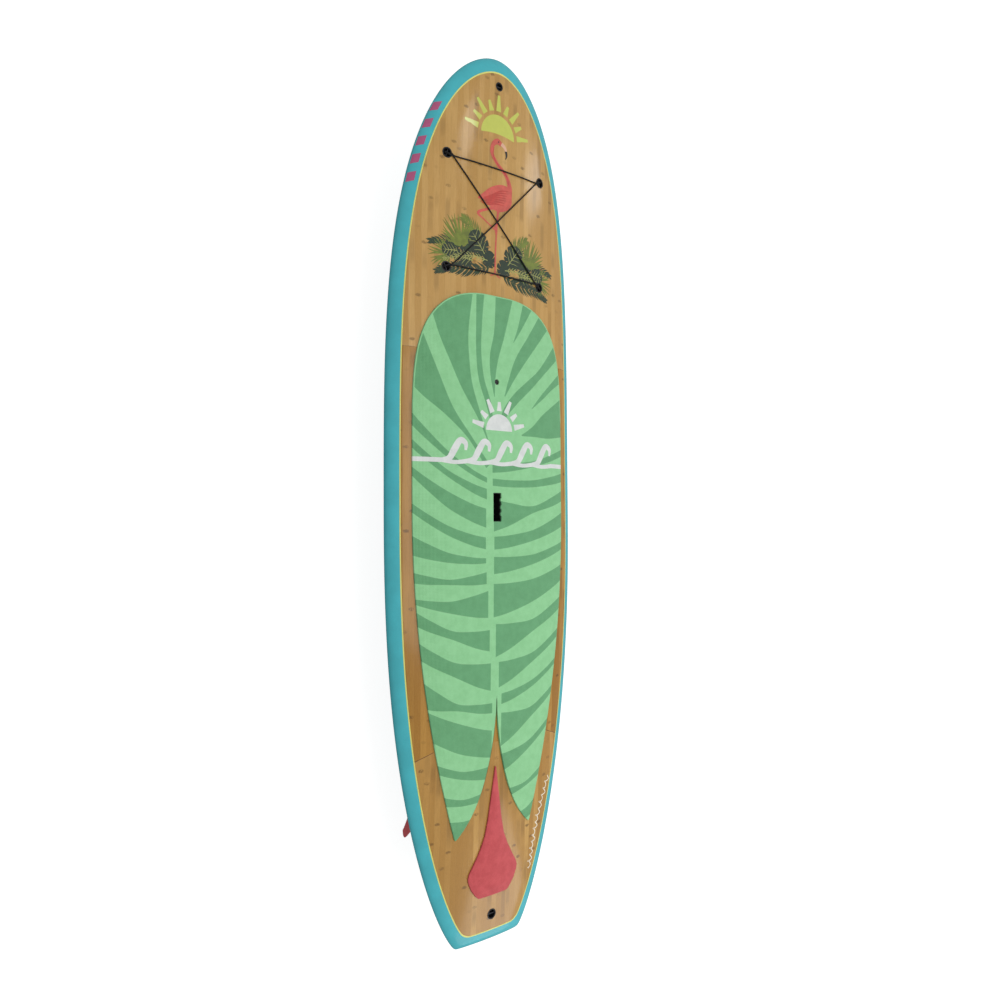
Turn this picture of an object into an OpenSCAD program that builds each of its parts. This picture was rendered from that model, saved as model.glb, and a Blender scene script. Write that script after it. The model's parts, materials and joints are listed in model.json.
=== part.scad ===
/* [Board] */
// Length from tail to nose
board_l = 3200; // [3160:10:3240]
// Greatest width
board_w = 838; // [826:2:850]
// Greatest thickness
board_t = 118; // [114:1:122]
// Width of the squared-off tail
tail_w = 274; // [264:2:284]
// Lift of the bottom at the nose
nose_rocker = 134; // [120:1:148]
// Lift of the bottom at the tail
tail_rocker = 30; // [24:1:36]
// Thickness of the painted bottom and rail laminate
shell_t = 3; // [2.5:0.5:3.5]
// Thickness of the bamboo deck panel
panel_t = 3; // [2.5:0.5:3.5]
// Width of the painted border round the deck
border_w = 40; // [36:1:44]

/* [Deck pads] */
// Thickness of the foam deck pad
pad_t = 5; // [4:0.5:6]
// Greatest half width of the deck pad
pad_half_w = 340; // [330:1:344]
// Crown of the raised tail pad over its edge
arch_h = 9; // [6:1:12]

/* [Deck fittings] */
// Diameter of the bungee cord
cord_d = 5; // [4.5:0.5:5]
// Sideways distance of the bungee anchors from the centre line
anchor_x = 214; // [208:2:220]
// Diameter of the leash plug and the bungee anchors
plug_d = 38; // [37:0.5:39]
// Diameter of the nose plug
nose_plug_d = 32; // [31:0.5:33]
// Length of the carrying handle's opening
grip_l = 100; // [96:1:102]
// Width of the carrying handle's opening
grip_w = 32; // [30:1:33]

/* [Fins] */
// Depth of the centre fin below the board
fin_depth = 230; // [200:5:240]
// Depth of the side fins below the board
side_fin_depth = 118; // [110:1:124]
// Outward lean of the side fins in degrees
side_fin_cant = 7; // [5:0.5:9]

/* [Hidden] */
$fn = 48;

// Distances along the board are counted from the tail.
wide_y = 1550;          // widest place
thick_y = 1700;         // thickest place
flat_from = 1100;       // start of the flat stretch of the bottom
flat_to = 1500;         // end of the flat stretch of the bottom
nose_power = 3.7;       // fullness of the outline towards the nose
nose_round = 0.533;
tail_power = 2.355;     // fullness of the outline towards the tail
tail_round = 0.763;
tail_inset_share = 0.675;  // how much of an inset the tail's half width loses
nose_inset_share = 1.35;   // how far an inset outline stays back from the nose tip, as a share of the inset
nose_t = 24;            // thickness near the nose tip
tail_t = 36;            // thickness near the tail
taper_power = 2.6;      // how late the thickness falls away
nose_close = 45;        // length over which the nose edge closes
tail_close = 22;        // length over which the tail edge closes
apex = 0.3;             // height of the rail's widest line, as a share of the thickness
crown_power = 2.15;     // fullness of the deck's cross section
flat_share = 0.55;      // share of the bottom's half width that is flat
chine_power = 2.5;      // fullness of the bottom's edge
glue = 0.9;             // gap left for glue between core and skins
stringer_t = 6;

stations = 36;          // rings along the board
transom_points = 5;     // points across the tail
inner_min = 12;         // inset of the laminate's inner edge

nose_plug_y = board_l - 102;
leash_plug_y = 97;
vent_y = 2015;
grip_y = 1560;
anchor_front_y = 2804;
anchor_rear_y = 2402;
plug_lip = 0.5;         // how far a plug stands proud of the deck
plug_depth = 22;
plug_floor = 3;         // thickness of a plug's floor
plug_side = 2;          // thickness of its side wall
plug_flange_h = 2.5;
plug_step = 2;          // how far the flange reaches past the body
plug_seat = 3;          // depth of the flange's seat below the deck panel
bar_r = 2.5;
bar_drop = 6;           // depth of a plug's bar below its rim
bar_wall = 3;           // distance from a bar's end to the flange's edge
cut_over = 12;          // how far a cutter runs out past the surface

pad_front_y = 2330;
pad_rear_y = 397;
notch_y = 880;          // tip of the notch between the pad's two tails
notch_w = 119;          // its half width at the tails, and how much more it opens close to them
notch_flare = 44;
pad_gap = 0.6;          // glue line under the pads
vent_window_d = 20;     // hole in the pad over the vent

fin_y = 325;            // middle of the centre fin box
fin_box_l = 255;        // length of its channel
fin_slot_w = 9.5;
fin_slot_h = 20;
fin_base_front = 70;    // leading edge of the centre fin at the board
fin_base_rear = -94;    // trailing edge
fin_ear = 24;           // length of the screw ear ahead of the blade
fin_tip_front = -93;    // where the two edges reach at the tip
fin_tip_rear = -128;
tip_point = 0.35;       // where a blade's tip lies between its two edges
tip_close = 0.09;       // length left of a blade's tip, as a share
front_sweep = 1.75;     // how late the leading edge bends back
rear_sweep = 0.8;       // how early the trailing edge bends back
belly = 0.13;           // swell of the trailing edge, as a share of the depth
box_rim_h = 3;          // thickness of the box's rim
box_rim_l = 277;
box_rim_w = 28;
box_l = 267;
box_w = 22;
box_depth = 27;
mouth_l = 18;           // length of the wide mouth in the middle of the groove
groove_z = 9;
groove_h = 5.2;
groove_w = 17;
screw_r = 2;
running_gap = 0.05;

side_fin_x = 246;
side_fin_y = 490;
side_tip_point = 0.92;  // the side fins' tips are fuller
side_rear_sweep = 1.6;
side_slot_l = 108.6;
side_slot_w = 7.3;
side_slot_depth = 16;
side_rim_h = 2.5;
side_rim_l = 134;
side_rim_w = 18;
side_box_l = 128;
side_box_w = 14;
side_box_depth = 19;
side_toe = 2.5;
side_screw_r = 2.5;
side_screw_lean = 30;

vent_r = 5;             // radius of the vent screw's thread
vent_head_r = 8;
vent_head_h = 4;
vent_bowl_r = 8.5;      // radius of the bowl that the screw's head sits in
vent_bowl = 7.5;        // depth of that bowl below the deck
ring_r = 1.2;           // radius of the sealing ring's section
ring_mid_r = 6.6;       // radius of the ring's middle line
vent_body_r = 11;
vent_body_h = 24;
vent_flange_r = 18;
vent_flange_h = 3.2;

skin_drop = 0.4;        // how far the handle's parts stay below the deck
well_depth = 46;        // depth of the handle's well
well_floor = 3;
well_flange_h = 3.2;
grip_h = 4.5;           // thickness of the grip insert
well_flange = 16;       // how far each layer reaches past the grip's opening
well_body = 8;
well_seat = 5;
well_hollow = 3;

// ---- shape of the board ----

function unit(v) = max(0, min(1, v));
function nose_end(inset) = board_l - nose_inset_share * inset;
function fore(y, inset) = unit((y - wide_y) / (nose_end(inset) - wide_y));
function aft(y, inset) = unit((wide_y - y) / (wide_y - inset));
function tail_half(inset) = tail_w / 2 - tail_inset_share * inset;
function corner_r(inset) = min(8 + 0.3 * inset, 0.6 * tail_half(inset));
function corner_cut(y, inset) =
    let (r = corner_r(inset), d = max(0, r - max(0, y - inset))) r - sqrt(max(0, r * r - d * d));

// Half width at y of the outline drawn in by inset
function half_w(y, inset = 0) = y >= wide_y
    ? (board_w / 2 - inset) * pow(1 - pow(fore(y, inset), nose_power), nose_round)
    : tail_half(inset)
        + (board_w / 2 - inset - tail_half(inset)) * pow(1 - pow(aft(y, inset), tail_power), tail_round)
        - corner_cut(y, inset);

function rocker(y) = nose_rocker * pow(unit((y - flat_to) / (board_l - flat_to)), 3)
    + tail_rocker * pow(unit((flat_from - y) / flat_from), 2.2);
function thickness(y) = y >= thick_y
    ? nose_t + (board_t - nose_t) * (1 - pow(unit((y - thick_y) / (board_l - thick_y)), taper_power))
    : tail_t + (board_t - tail_t) * (1 - pow(unit((thick_y - y) / thick_y), taper_power));
function closing(y) = let (n = 1 - unit((board_l - y) / nose_close), t = 1 - unit(y / tail_close))
    sqrt(1 - n * n) * sqrt(1 - t * t);
function apex_z(y) = rocker(y) + apex * thickness(y);
function across(x, y) = half_w(y) < 0.01 ? 0 : unit(abs(x) / half_w(y));
function deck_z(x, y) = apex_z(y)
    + (1 - apex) * thickness(y) * closing(y) * sqrt(1 - pow(across(x, y), crown_power));
function edge_share(x, y) = unit((across(x, y) - flat_share) / (1 - flat_share));
function bottom_z(x, y) = apex_z(y)
    - apex * thickness(y) * closing(y) * sqrt(1 - pow(edge_share(x, y), chine_power));

function deck_slope_x(x, y) = (deck_z(x + 1, y) - deck_z(x - 1, y)) / 2;
function deck_slope_y(x, y) = (deck_z(x, y + 1) - deck_z(x, y - 1)) / 2;
fin_tilt = atan((bottom_z(0, fin_y + 1) - bottom_z(0, fin_y - 1)) / 2);

// Height of the flat bottom when the centre fin's tip touches z = 0
function tip_mid(front, rear) = front * tip_point + rear * (1 - tip_point);
fin_tip_y = tip_mid(fin_tip_front, fin_tip_rear) * (1 - tip_close) + fin_tip_front * tip_close;
ride_h = fin_depth * cos(fin_tilt) - fin_tip_y * sin(fin_tilt) - bottom_z(0, fin_y);

module placed() {
    translate([0, -board_l / 2, ride_h]) children();
}

// Puts its children on the deck at x, y with their z along the deck's normal
module on_deck(x, y) {
    translate([x, y, deck_z(x, y)])
        rotate([atan(deck_slope_y(x, y)), -atan(deck_slope_x(x, y)), 0])
            children();
}

module at_vent() {
    translate([0, vent_y, deck_z(0, vent_y)]) children();
}

module at_grip() {
    translate([0, grip_y, deck_z(0, grip_y)]) children();
}

// Puts its children on the bottom, z into the board
module at_centre_fin() {
    translate([0, fin_y, bottom_z(0, fin_y)]) rotate([fin_tilt, 0, 0]) children();
}

module at_side_fin(side) {
    x = side * side_fin_x;
    slope = atan((bottom_z(x, side_fin_y + 1) - bottom_z(x, side_fin_y - 1)) / 2);
    translate([x, side_fin_y, bottom_z(x, side_fin_y)])
        rotate([slope, 0, side * side_toe])
            rotate([0, side * -side_fin_cant, 0])
                children();
}

// ---- solids from rings and grids of points ----

function eta(i) = (1 - cos(180 * i / stations)) / 2;
function ring_y(i, inset) = inset + (nose_end(inset) - inset) * eta(i);
function plan_ring(inset) = concat(
    [for (i = [0:stations]) [-half_w(ring_y(i, inset), inset), ring_y(i, inset)]],
    [for (i = [stations - 1:-1:0]) [half_w(ring_y(i, inset), inset), ring_y(i, inset)]],
    [for (k = [1:transom_points])
        [half_w(inset, inset) * (1 - 2 * k / (transom_points + 1)), inset]]
);
function deck_ring(inset, lift) = [for (p = plan_ring(inset)) [p[0], p[1], deck_z(p[0], p[1]) + lift]];
function bottom_ring(inset, lift) =
    [for (p = plan_ring(inset)) [p[0], p[1], bottom_z(p[0], p[1]) + lift]];
ring_n = 2 * stations + 1 + transom_points;

function band_faces(a, b) = [for (k = [0:ring_n - 1]) let (n = (k + 1) % ring_n)
    [a * ring_n + k, a * ring_n + n, b * ring_n + n, b * ring_n + k]];
// Faces that close a ring by strips from its left side to its right side
function fill_faces(o) = concat(
    [[o + 1, o + 2 * stations - 1, o + 2 * stations]],
    [for (k = [1:transom_points]) [o + 1, o + 2 * stations + k - 1, o + 2 * stations + k]],
    [[o + 1, o + ring_n - 1, o]],
    [for (i = [1:stations - 2]) [o + i, o + i + 1, o + 2 * stations - i - 1, o + 2 * stations - i]],
    [[o + stations - 1, o + stations, o + stations + 1]]
);
function flipped(faces) = [for (f = faces) [for (k = [len(f) - 1:-1:0]) f[k]]];

// A closed solid between two grids of points with the same rows and columns, a above b
module grid_solid(a, b) {
    rows = len(a);
    cols = len(a[0]);
    n = rows * cols;
    points = concat([for (r = a) each r], [for (r = b) each r]);
    above = [for (r = [0:rows - 2]) for (c = [0:cols - 2])
        [r * cols + c, (r + 1) * cols + c, (r + 1) * cols + c + 1, r * cols + c + 1]];
    below = [for (f = above) [f[3] + n, f[2] + n, f[1] + n, f[0] + n]];
    ends = [for (c = [0:cols - 2]) each [
        [c, c + 1, n + c + 1, n + c],
        [n + (rows - 1) * cols + c, n + (rows - 1) * cols + c + 1,
            (rows - 1) * cols + c + 1, (rows - 1) * cols + c]]];
    sides = [for (r = [0:rows - 2]) each [
        [n + r * cols, n + (r + 1) * cols, (r + 1) * cols, r * cols],
        [(r + 1) * cols - 1, (r + 2) * cols - 1, n + (r + 2) * cols - 1, n + (r + 1) * cols - 1]]];
    polyhedron(points, concat(above, below, ends, sides));
}

// A solid through closed rings of n points each, with flat ends or joined end to end
module loft(rings, closed = false) {
    n = len(rings[0]);
    m = len(rings);
    points = [for (r = rings) each r];
    steps = closed ? m : m - 1;
    walls = [for (r = [0:steps - 1]) for (k = [0:n - 1]) let (s = (r + 1) % m, j = (k + 1) % n)
        [r * n + k, r * n + j, s * n + j, s * n + k]];
    caps = closed ? [] : [[for (k = [n - 1:-1:0]) k], [for (k = [0:n - 1]) (m - 1) * n + k]];
    polyhedron(points, concat(walls, caps));
}

// ---- pockets that the fittings sit in ----

module plug_pocket(d, gap) {
    translate([0, 0, -panel_t - plug_seat])
        cylinder(h = panel_t + plug_seat + cut_over, d = d + 2 * gap);
    translate([0, 0, -plug_depth - gap]) cylinder(h = plug_depth, d = d - 2 * plug_step + 2 * gap);
}

module slab(l, w, z0, z1) {
    translate([-w / 2, -l / 2, z0]) cube([w, l, z1 - z0]);
}

// A slab that reaches past the grip's opening by the margin all round
module grip_slab(margin, z0, z1) {
    slab(grip_l + 2 * margin, grip_w + 2 * margin, z0, z1);
}

module deck_pockets(gap) {
    on_deck(0, nose_plug_y) plug_pocket(nose_plug_d, gap);
    on_deck(0, leash_plug_y) plug_pocket(plug_d, gap);
    for (side = [-1, 1]) for (y = [anchor_front_y, anchor_rear_y])
        on_deck(side * anchor_x, y) plug_pocket(plug_d, gap);
    at_vent() {
        translate([0, 0, -vent_flange_h - gap]) cylinder(h = cut_over, r = vent_flange_r + gap);
        translate([0, 0, -vent_body_h - gap]) cylinder(h = vent_body_h, r = vent_body_r + gap);
    }
    at_grip() {
        grip_slab(well_flange + gap, -well_flange_h - gap, cut_over);
        grip_slab(well_body + gap, -well_depth - gap, 0);
    }
}

module bottom_pockets(gap) {
    at_centre_fin() {
        slab(box_rim_l + 2 * gap, box_rim_w + 2 * gap, -cut_over, box_rim_h + gap);
        slab(box_l + 2 * gap, box_w + 2 * gap, 0, box_depth + gap);
    }
    for (side = [-1, 1]) at_side_fin(side) {
        slab(side_rim_l + 2 * gap, side_rim_w + 2 * gap, -cut_over, side_rim_h + gap);
        slab(side_box_l + 2 * gap, side_box_w + 2 * gap, 0, side_box_depth + gap);
    }
}

// ---- board ----

// The right half of the foam, from the stringer out to the laminate
module core_half() {
    first = inner_min + 4;
    cols = 8;
    plan = [for (i = [0:stations])
        let (y = ring_y(i, first),
            x0 = stringer_t / 2 + glue,
            x1 = half_w(y, inner_min + 2))
        [for (j = [0:cols]) [x0 + (x1 - x0) * sin(90 * j / cols), y]]];
    above = [for (row = plan) [for (p = row) [p[0], p[1], deck_z(p[0], p[1]) - panel_t - glue]]];
    below = [for (row = plan) [for (p = row) [p[0], p[1], bottom_z(p[0], p[1]) + shell_t + glue]]];
    difference() {
        grid_solid(above, below);
        deck_pockets(0.4);
        bottom_pockets(0.4);
    }
}

module foam_core_right() {
    color("ivory") placed() core_half();
}

module foam_core_left() {
    color("ivory") placed() mirror([1, 0, 0]) core_half();
}

module stringer() {
    first = inner_min + 4;
    ys = [for (i = [0:stations]) ring_y(i, first)];
    profile = concat([for (y = ys) [y, deck_z(0, y) - panel_t - glue]],
        [for (i = [stations:-1:0]) [ys[i], bottom_z(0, ys[i]) + shell_t + glue]]);
    color("burlywood") placed() difference() {
        translate([-stringer_t / 2, 0, 0]) rotate([90, 0, 90])
            linear_extrude(stringer_t) polygon(profile);
        deck_pockets(0.3);
        bottom_pockets(0.3);
    }
}

// The painted laminate: bottom, rails and the border round the deck
module bottom_shell() {
    under = [190, 130, 80, 45, 24];
    rail = [11, 4.5, 1.2];
    rings = concat(
        [for (s = under) bottom_ring(s, shell_t)],
        [bottom_ring(inner_min, shell_t)],
        [for (s = [inner_min, 20, 30, border_w]) deck_ring(s, -shell_t)],
        [for (s = [border_w, 28, 18, 10, 4.5, 1.2, 0]) deck_ring(s, 0)],
        [for (k = [len(rail) - 1:-1:0]) bottom_ring(rail[k], 0)],
        [for (k = [len(under) - 1:-1:0]) bottom_ring(under[k], 0)]
    );
    points = [for (r = rings) each r];
    last = len(rings) - 1;
    faces = concat(
        fill_faces(0),
        [for (r = [0:last - 1]) each flipped(band_faces(r, r + 1))],
        flipped(fill_faces(last * ring_n))
    );
    color("darkturquoise") placed() difference() {
        polyhedron(points, faces);
        bottom_pockets(0.2);
    }
}

// Rows of points on the deck between y0 and y1, as wide as the outline drawn in by inset
function deck_rows(y0, y1, inset, lift, cols) = [for (i = [0:stations])
    let (y = y0 + (y1 - y0) * eta(i), w = half_w(y, inset))
    [for (c = [0:cols]) let (x = w * sin(90 * (2 * c / cols - 1))) [x, y, deck_z(x, y) + lift]]];

module deck_panel() {
    inset = border_w + 1.3;
    y1 = nose_end(inset) - 0.5;
    cols = 14;
    color("burlywood") placed() difference() {
        grid_solid(deck_rows(inset, y1, inset, 0, cols), deck_rows(inset, y1, inset, -panel_t, cols));
        deck_pockets(0.2);
    }
}

module pinline_tape() {
    outer = border_w - 3;
    inner = border_w + 4;
    rings = [deck_ring(outer, 0.3), deck_ring(outer, 0.8), deck_ring(inner, 0.8), deck_ring(inner, 0.3)];
    points = [for (r = rings) each r];
    faces = [for (r = [0:3]) each band_faces(r, (r + 1) % 4)];
    color("khaki") placed() polyhedron(points, faces);
}

// ---- pads ----

function pad_half(y) = y > 1750
    ? pad_half_w * pow(max(0, 1 - pow((y - 1750) / (pad_front_y - 1750), 4)), 0.36)
    : pad_half_w - 172 * pow(max(0, (1550 - y) / (1550 - pad_rear_y)), 2);
function notch_half(y) = let (u = max(0, (notch_y - y) / (notch_y - pad_rear_y)))
    notch_w * pow(u, 1.9) + notch_flare * pow(u, 7);

// The grip's opening, with bumps on one side that part the fingers
module finger_opening(grow, z0, z1) {
    half_l = grip_l / 2 + grow;
    half_w = grip_w / 2 + grow;
    bump_r = 9;
    bump_in = 4;
    pitch = 25;
    difference() {
        slab(2 * half_l, 2 * half_w, z0, z1);
        for (k = [-1, 0, 1]) translate([half_w + bump_r - bump_in, pitch * k, z0 - 1])
            cylinder(h = z1 - z0 + 2, r = bump_r);
    }
}

module deck_pad() {
    rows = 32;
    cols = 12;
    pad_l = pad_front_y - 0.5 - pad_rear_y;
    ys = [for (i = [0:rows]) pad_rear_y + pad_l * (1 - cos(180 * i / rows)) / 2];
    a = [for (y = ys) [for (c = [0:cols]) let (x = pad_half(y) * sin(90 * (2 * c / cols - 1)))
        [x, y, deck_z(x, y) + pad_gap + pad_t]]];
    b = [for (r = a) [for (p = r) [p[0], p[1], p[2] - pad_t]]];
    steps = 18;
    rear = pad_rear_y - 20;
    side = [for (k = [0:steps]) let (y = notch_y - (notch_y - rear) * k / steps) [notch_half(y), y]];
    notch = concat([for (p = side) p], [for (k = [steps:-1:1]) [-side[k][0], side[k][1]]]);
    color("mediumaquamarine") placed() difference() {
        grid_solid(a, b);
        linear_extrude(2 * board_t) polygon(notch);
        at_grip() finger_opening(2, -cut_over, cut_over);
        at_vent() translate([0, 0, -cut_over]) cylinder(h = 2 * cut_over, d = vent_window_d);
    }
}

// Outline of the raised tail pad: distance along the board and half width
arch_outline = [[169, 63], [180, 76], [205, 95], [235, 108], [250, 110], [265, 106], [298, 86],
    [340, 62], [385, 43], [440, 31], [491, 23], [535, 16], [580, 9], [628, 2]];
arch_wide = 60;         // half width at which the pad reaches its full crown
arch_start = 160;       // where the crown starts and how soon it is full
arch_ramp = 40;
function arch_half(y) = lookup(y, arch_outline);
function arch_rise(share, y) = arch_h * pow(cos(90 * share), 0.8)
    * min(1, arch_half(y) / arch_wide) * min(1, (y - arch_start) / arch_ramp);

module tail_pad() {
    cols = 10;
    a = [for (row = arch_outline) [for (c = [0:cols])
        let (share = 2 * c / cols - 1, x = row[1] * share, y = row[0])
        [x, y, deck_z(x, y) + pad_gap + pad_t + arch_rise(share, y)]]];
    b = [for (r = a) [for (p = r) [p[0], p[1], deck_z(p[0], p[1]) + pad_gap]]];
    color("indianred") placed() grid_solid(a, b);
}

// ---- carrying handle ----

module handle_well() {
    color([0.08, 0.08, 0.09]) placed() at_grip() difference() {
        union() {
            grip_slab(well_flange, -well_flange_h, -skin_drop);
            grip_slab(well_body, -well_depth, -1);
        }
        grip_slab(well_seat, -grip_h - skin_drop - 0.1, 1);
        grip_slab(well_hollow, -well_depth + well_floor, 0);
    }
}

module handle_grip() {
    color([0.1, 0.1, 0.11]) placed() at_grip() difference() {
        grip_slab(well_seat - 0.2, -grip_h - skin_drop, -skin_drop);
        finger_opening(0, -grip_h - 2, 1);
    }
}

// ---- vent ----

vent_head_z = -vent_bowl + 2 * ring_r + 0.1;  // underside of the screw's head, over the ring
vent_shank = 15;

module vent_housing() {
    color([0.1, 0.1, 0.11]) placed() at_vent() difference() {
        union() {
            translate([0, 0, -vent_flange_h]) cylinder(h = vent_flange_h - 0.3, r = vent_flange_r);
            translate([0, 0, -vent_body_h]) cylinder(h = vent_body_h - 2, r = vent_body_r);
        }
        translate([0, 0, -vent_bowl]) cylinder(h = cut_over, r = vent_bowl_r);
        translate([0, 0, -vent_body_h + 2]) cylinder(h = vent_body_h, r = vent_r + running_gap);
    }
}

module vent_oring() {
    color([0.05, 0.05, 0.05]) placed() at_vent() translate([0, 0, -vent_bowl + ring_r + 0.05])
        rotate_extrude() translate([ring_mid_r, 0]) circle(r = ring_r, $fn = 24);
}

// The screw has a hex socket, and an air way from below its head to its end
module vent_screw() {
    color([0.13, 0.13, 0.14]) placed() at_vent() translate([0, 0, vent_head_z]) difference() {
        union() {
            cylinder(h = vent_head_h, r = vent_head_r);
            translate([0, 0, -vent_shank]) cylinder(h = vent_shank + 1, r = vent_r);
        }
        translate([0, 0, 1.2]) cylinder(h = vent_head_h, r = 3.6, $fn = 6);
        translate([0, 0, -vent_shank - 1]) cylinder(h = vent_shank + 1.5, r = 1.5);
        translate([-vent_head_r, 0, -vent_shank / 2]) rotate([0, 90, 0])
            cylinder(h = 2 * vent_head_r, r = 1);
    }
}

// ---- plugs and anchors ----

module cup(d) {
    body_d = d - 2 * plug_step;
    color([0.07, 0.07, 0.08]) difference() {
        union() {
            translate([0, 0, -plug_flange_h]) cylinder(h = plug_flange_h + plug_lip, d = d);
            translate([0, 0, -plug_depth]) cylinder(h = plug_depth, d = body_d);
        }
        translate([0, 0, -plug_depth + plug_floor]) cylinder(h = plug_depth, d = body_d - 2 * plug_side);
        translate([-d / 2 + bar_wall, 0, -bar_drop]) rotate([0, 90, 0])
            cylinder(h = d - 2 * bar_wall, r = bar_r + 0.02);
    }
}

module bar(d) {
    reach = d / 2 - bar_wall - 0.1;
    color("silver") translate([-reach, 0, -bar_drop]) rotate([0, 90, 0]) cylinder(h = 2 * reach, r = bar_r);
}

module nose_plug_cup() {
    placed() on_deck(0, nose_plug_y) cup(nose_plug_d);
}

module nose_plug_bar() {
    placed() on_deck(0, nose_plug_y) bar(nose_plug_d);
}

module leash_plug_cup() {
    placed() on_deck(0, leash_plug_y) cup(plug_d);
}

module leash_plug_bar() {
    placed() on_deck(0, leash_plug_y) bar(plug_d);
}

// The anchors in the order in which the cord visits them
anchors = [[-anchor_x, anchor_front_y], [anchor_x, anchor_front_y],
    [-anchor_x, anchor_rear_y], [anchor_x, anchor_rear_y]];
function next_anchor(k) = anchors[(k + 1) % 4];
function last_anchor(k) = anchors[(k + 3) % 4];
function toward(a, b) = (b - a) / norm(b - a);
// Direction from the crossed cords' bisector outwards, and the bar's direction
function outward(k) =
    let (b = toward(anchors[k], next_anchor(k)) + toward(anchors[k], last_anchor(k))) -b / norm(b);
function bar_dir(k) = let (u = outward(k)) [-u[1], u[0]];

module at_anchor(k) {
    placed() on_deck(anchors[k][0], anchors[k][1])
        rotate([0, 0, atan2(bar_dir(k)[1], bar_dir(k)[0])]) children();
}

module anchor_cup_front_left() {
    at_anchor(0) cup(plug_d);
}

module anchor_cup_front_right() {
    at_anchor(1) cup(plug_d);
}

module anchor_cup_rear_left() {
    at_anchor(2) cup(plug_d);
}

module anchor_cup_rear_right() {
    at_anchor(3) cup(plug_d);
}

module anchor_bar_front_left() {
    at_anchor(0) bar(plug_d);
}

module anchor_bar_front_right() {
    at_anchor(1) bar(plug_d);
}

module anchor_bar_rear_left() {
    at_anchor(2) bar(plug_d);
}

module anchor_bar_rear_right() {
    at_anchor(3) bar(plug_d);
}

// ---- bungee cord ----

// The hook round one bar: distance outwards, share of the side step, height over the deck
hook = [[-30, 1, 3.6], [-16, 1, 4.4], [-6, 0.9, 4], [3, 0.8, 2], [8.4, 0.6, -2.6], [9, 0.3, -8],
    [5.6, 0, -12.8], [0, -0.3, -14.4], [-5.6, -0.5, -12], [-9, -0.8, -5.8], [-11, -1, 2],
    [-15.8, -1, 5], [-30, -1, 3.6]];
side_step = 3.4;
// Steps along a straight run between two hooks, and how high the run lies there
run = [[0.14, 3.3], [0.28, 3.3], [0.4, 3.3], [0.5, 3.3], [0.6, 3.3], [0.72, 3.3], [0.86, 3.3]];
over_run = [[0.14, 3.3], [0.28, 3.6], [0.4, 6], [0.5, 8.9], [0.6, 6], [0.72, 3.6], [0.86, 3.3]];

function hook_side(k) = (toward(anchors[k], last_anchor(k)) * bar_dir(k) > 0 ? 1 : -1) * side_step;
function hook_end(k, j) = let (h = hook[j])
    anchors[k] + h[0] * outward(k) + h[1] * hook_side(k) * bar_dir(k);
function raised(p, h) = [p[0], p[1], deck_z(p[0], p[1]) + h];
function route_hook(k) = [for (j = [0:len(hook) - 1]) raised(hook_end(k, j), hook[j][2])];
function route_run(k) = let (a = hook_end(k, len(hook) - 1), b = hook_end((k + 1) % 4, 0))
    [for (s = k == 1 ? over_run : run) raised(a + (b - a) * s[0], s[1])];
route = [for (k = [0:3]) each concat(route_hook(k), route_run(k))];
// A level direction across the cord at each point, turned over from one hook to the next
function hook_flat(k) = (k % 2 == 0 ? 1 : -1) * [bar_dir(k)[0], bar_dir(k)[1], 0];
route_flat = [for (k = [0:3]) each concat([for (h = hook) hook_flat(k)],
    [for (s = run) hook_flat(k) * (1 - s[0]) + hook_flat((k + 1) % 4) * s[0]])];

module bungee_cord() {
    sides = 8;
    m = len(route);
    rings = [for (i = [0:m - 1])
        let (t = route[(i + 1) % m] - route[(i + m - 1) % m],
            up = cross(route_flat[i], t),
            n = up / norm(up),
            f = cross(t, n) / norm(t))
        [for (k = [0:sides - 1]) let (a = 360 * k / sides)
            route[i] + cord_d / 2 * (cos(a) * f + sin(a) * n)]];
    color([0.06, 0.06, 0.06]) placed() loft(rings, true);
}

// ---- fins ----

// A fin blade: d runs from 0 at the board to 1 at the tip
function foil(c) =
    5 * (0.2969 * sqrt(c) - 0.126 * c - 0.3516 * c * c + 0.2843 * pow(c, 3) - 0.1036 * pow(c, 4));
function blade_ring(y0, y1, z, t) = let (n = 9, cs = [for (j = [0:n]) (1 - cos(180 * j / n)) / 2])
    concat([for (c = cs) [-foil(c) * t - 0.12, y0 + (y1 - y0) * c, z]],
        [for (j = [n:-1:0]) [foil(cs[j]) * t + 0.12, y0 + (y1 - y0) * cs[j], z]]);

module blade(front, rear, tip_front, tip_rear, depth, root_t, tip_t, root_up, point = tip_point, sweep = rear_sweep) {
    levels = [0, 0.06, 0.16, 0.28, 0.42, 0.56, 0.69, 0.8, 0.88, 0.94, 0.975, 0.993, 1];
    mid = tip_front * point + tip_rear * (1 - point);
    body = [for (d = levels)
        let (lead = front + (tip_front - front) * pow(d, front_sweep),
            swell = belly * depth * sin(180 * d) * (1 - 0.4 * d),
            trail = rear + (tip_rear - rear) * pow(d, sweep) + swell,
            shut = sqrt(max(0, 1 - pow(d, 7))),
            y0 = mid + (lead - mid) * max(shut, tip_close),
            y1 = mid + (trail - mid) * max(shut, tip_close))
        blade_ring(y0, y1, -depth * d, (root_t + (tip_t - root_t) * d) * max(shut, tip_close))];
    top = blade_ring(front, rear, root_up, root_t);
    loft(concat([top], body));
}

module centre_fin_box() {
    color([0.09, 0.09, 0.1]) placed() at_centre_fin() difference() {
        union() {
            slab(box_rim_l, box_rim_w, 0.2, box_rim_h);
            slab(box_l, box_w, 0.2, box_depth);
        }
        slab(fin_box_l, fin_slot_w, -2, fin_slot_h);
        slab(fin_box_l - 4, groove_w, groove_z, groove_z + groove_h);
        slab(mouth_l, groove_w, -2, groove_z + 1);
    }
}

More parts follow.
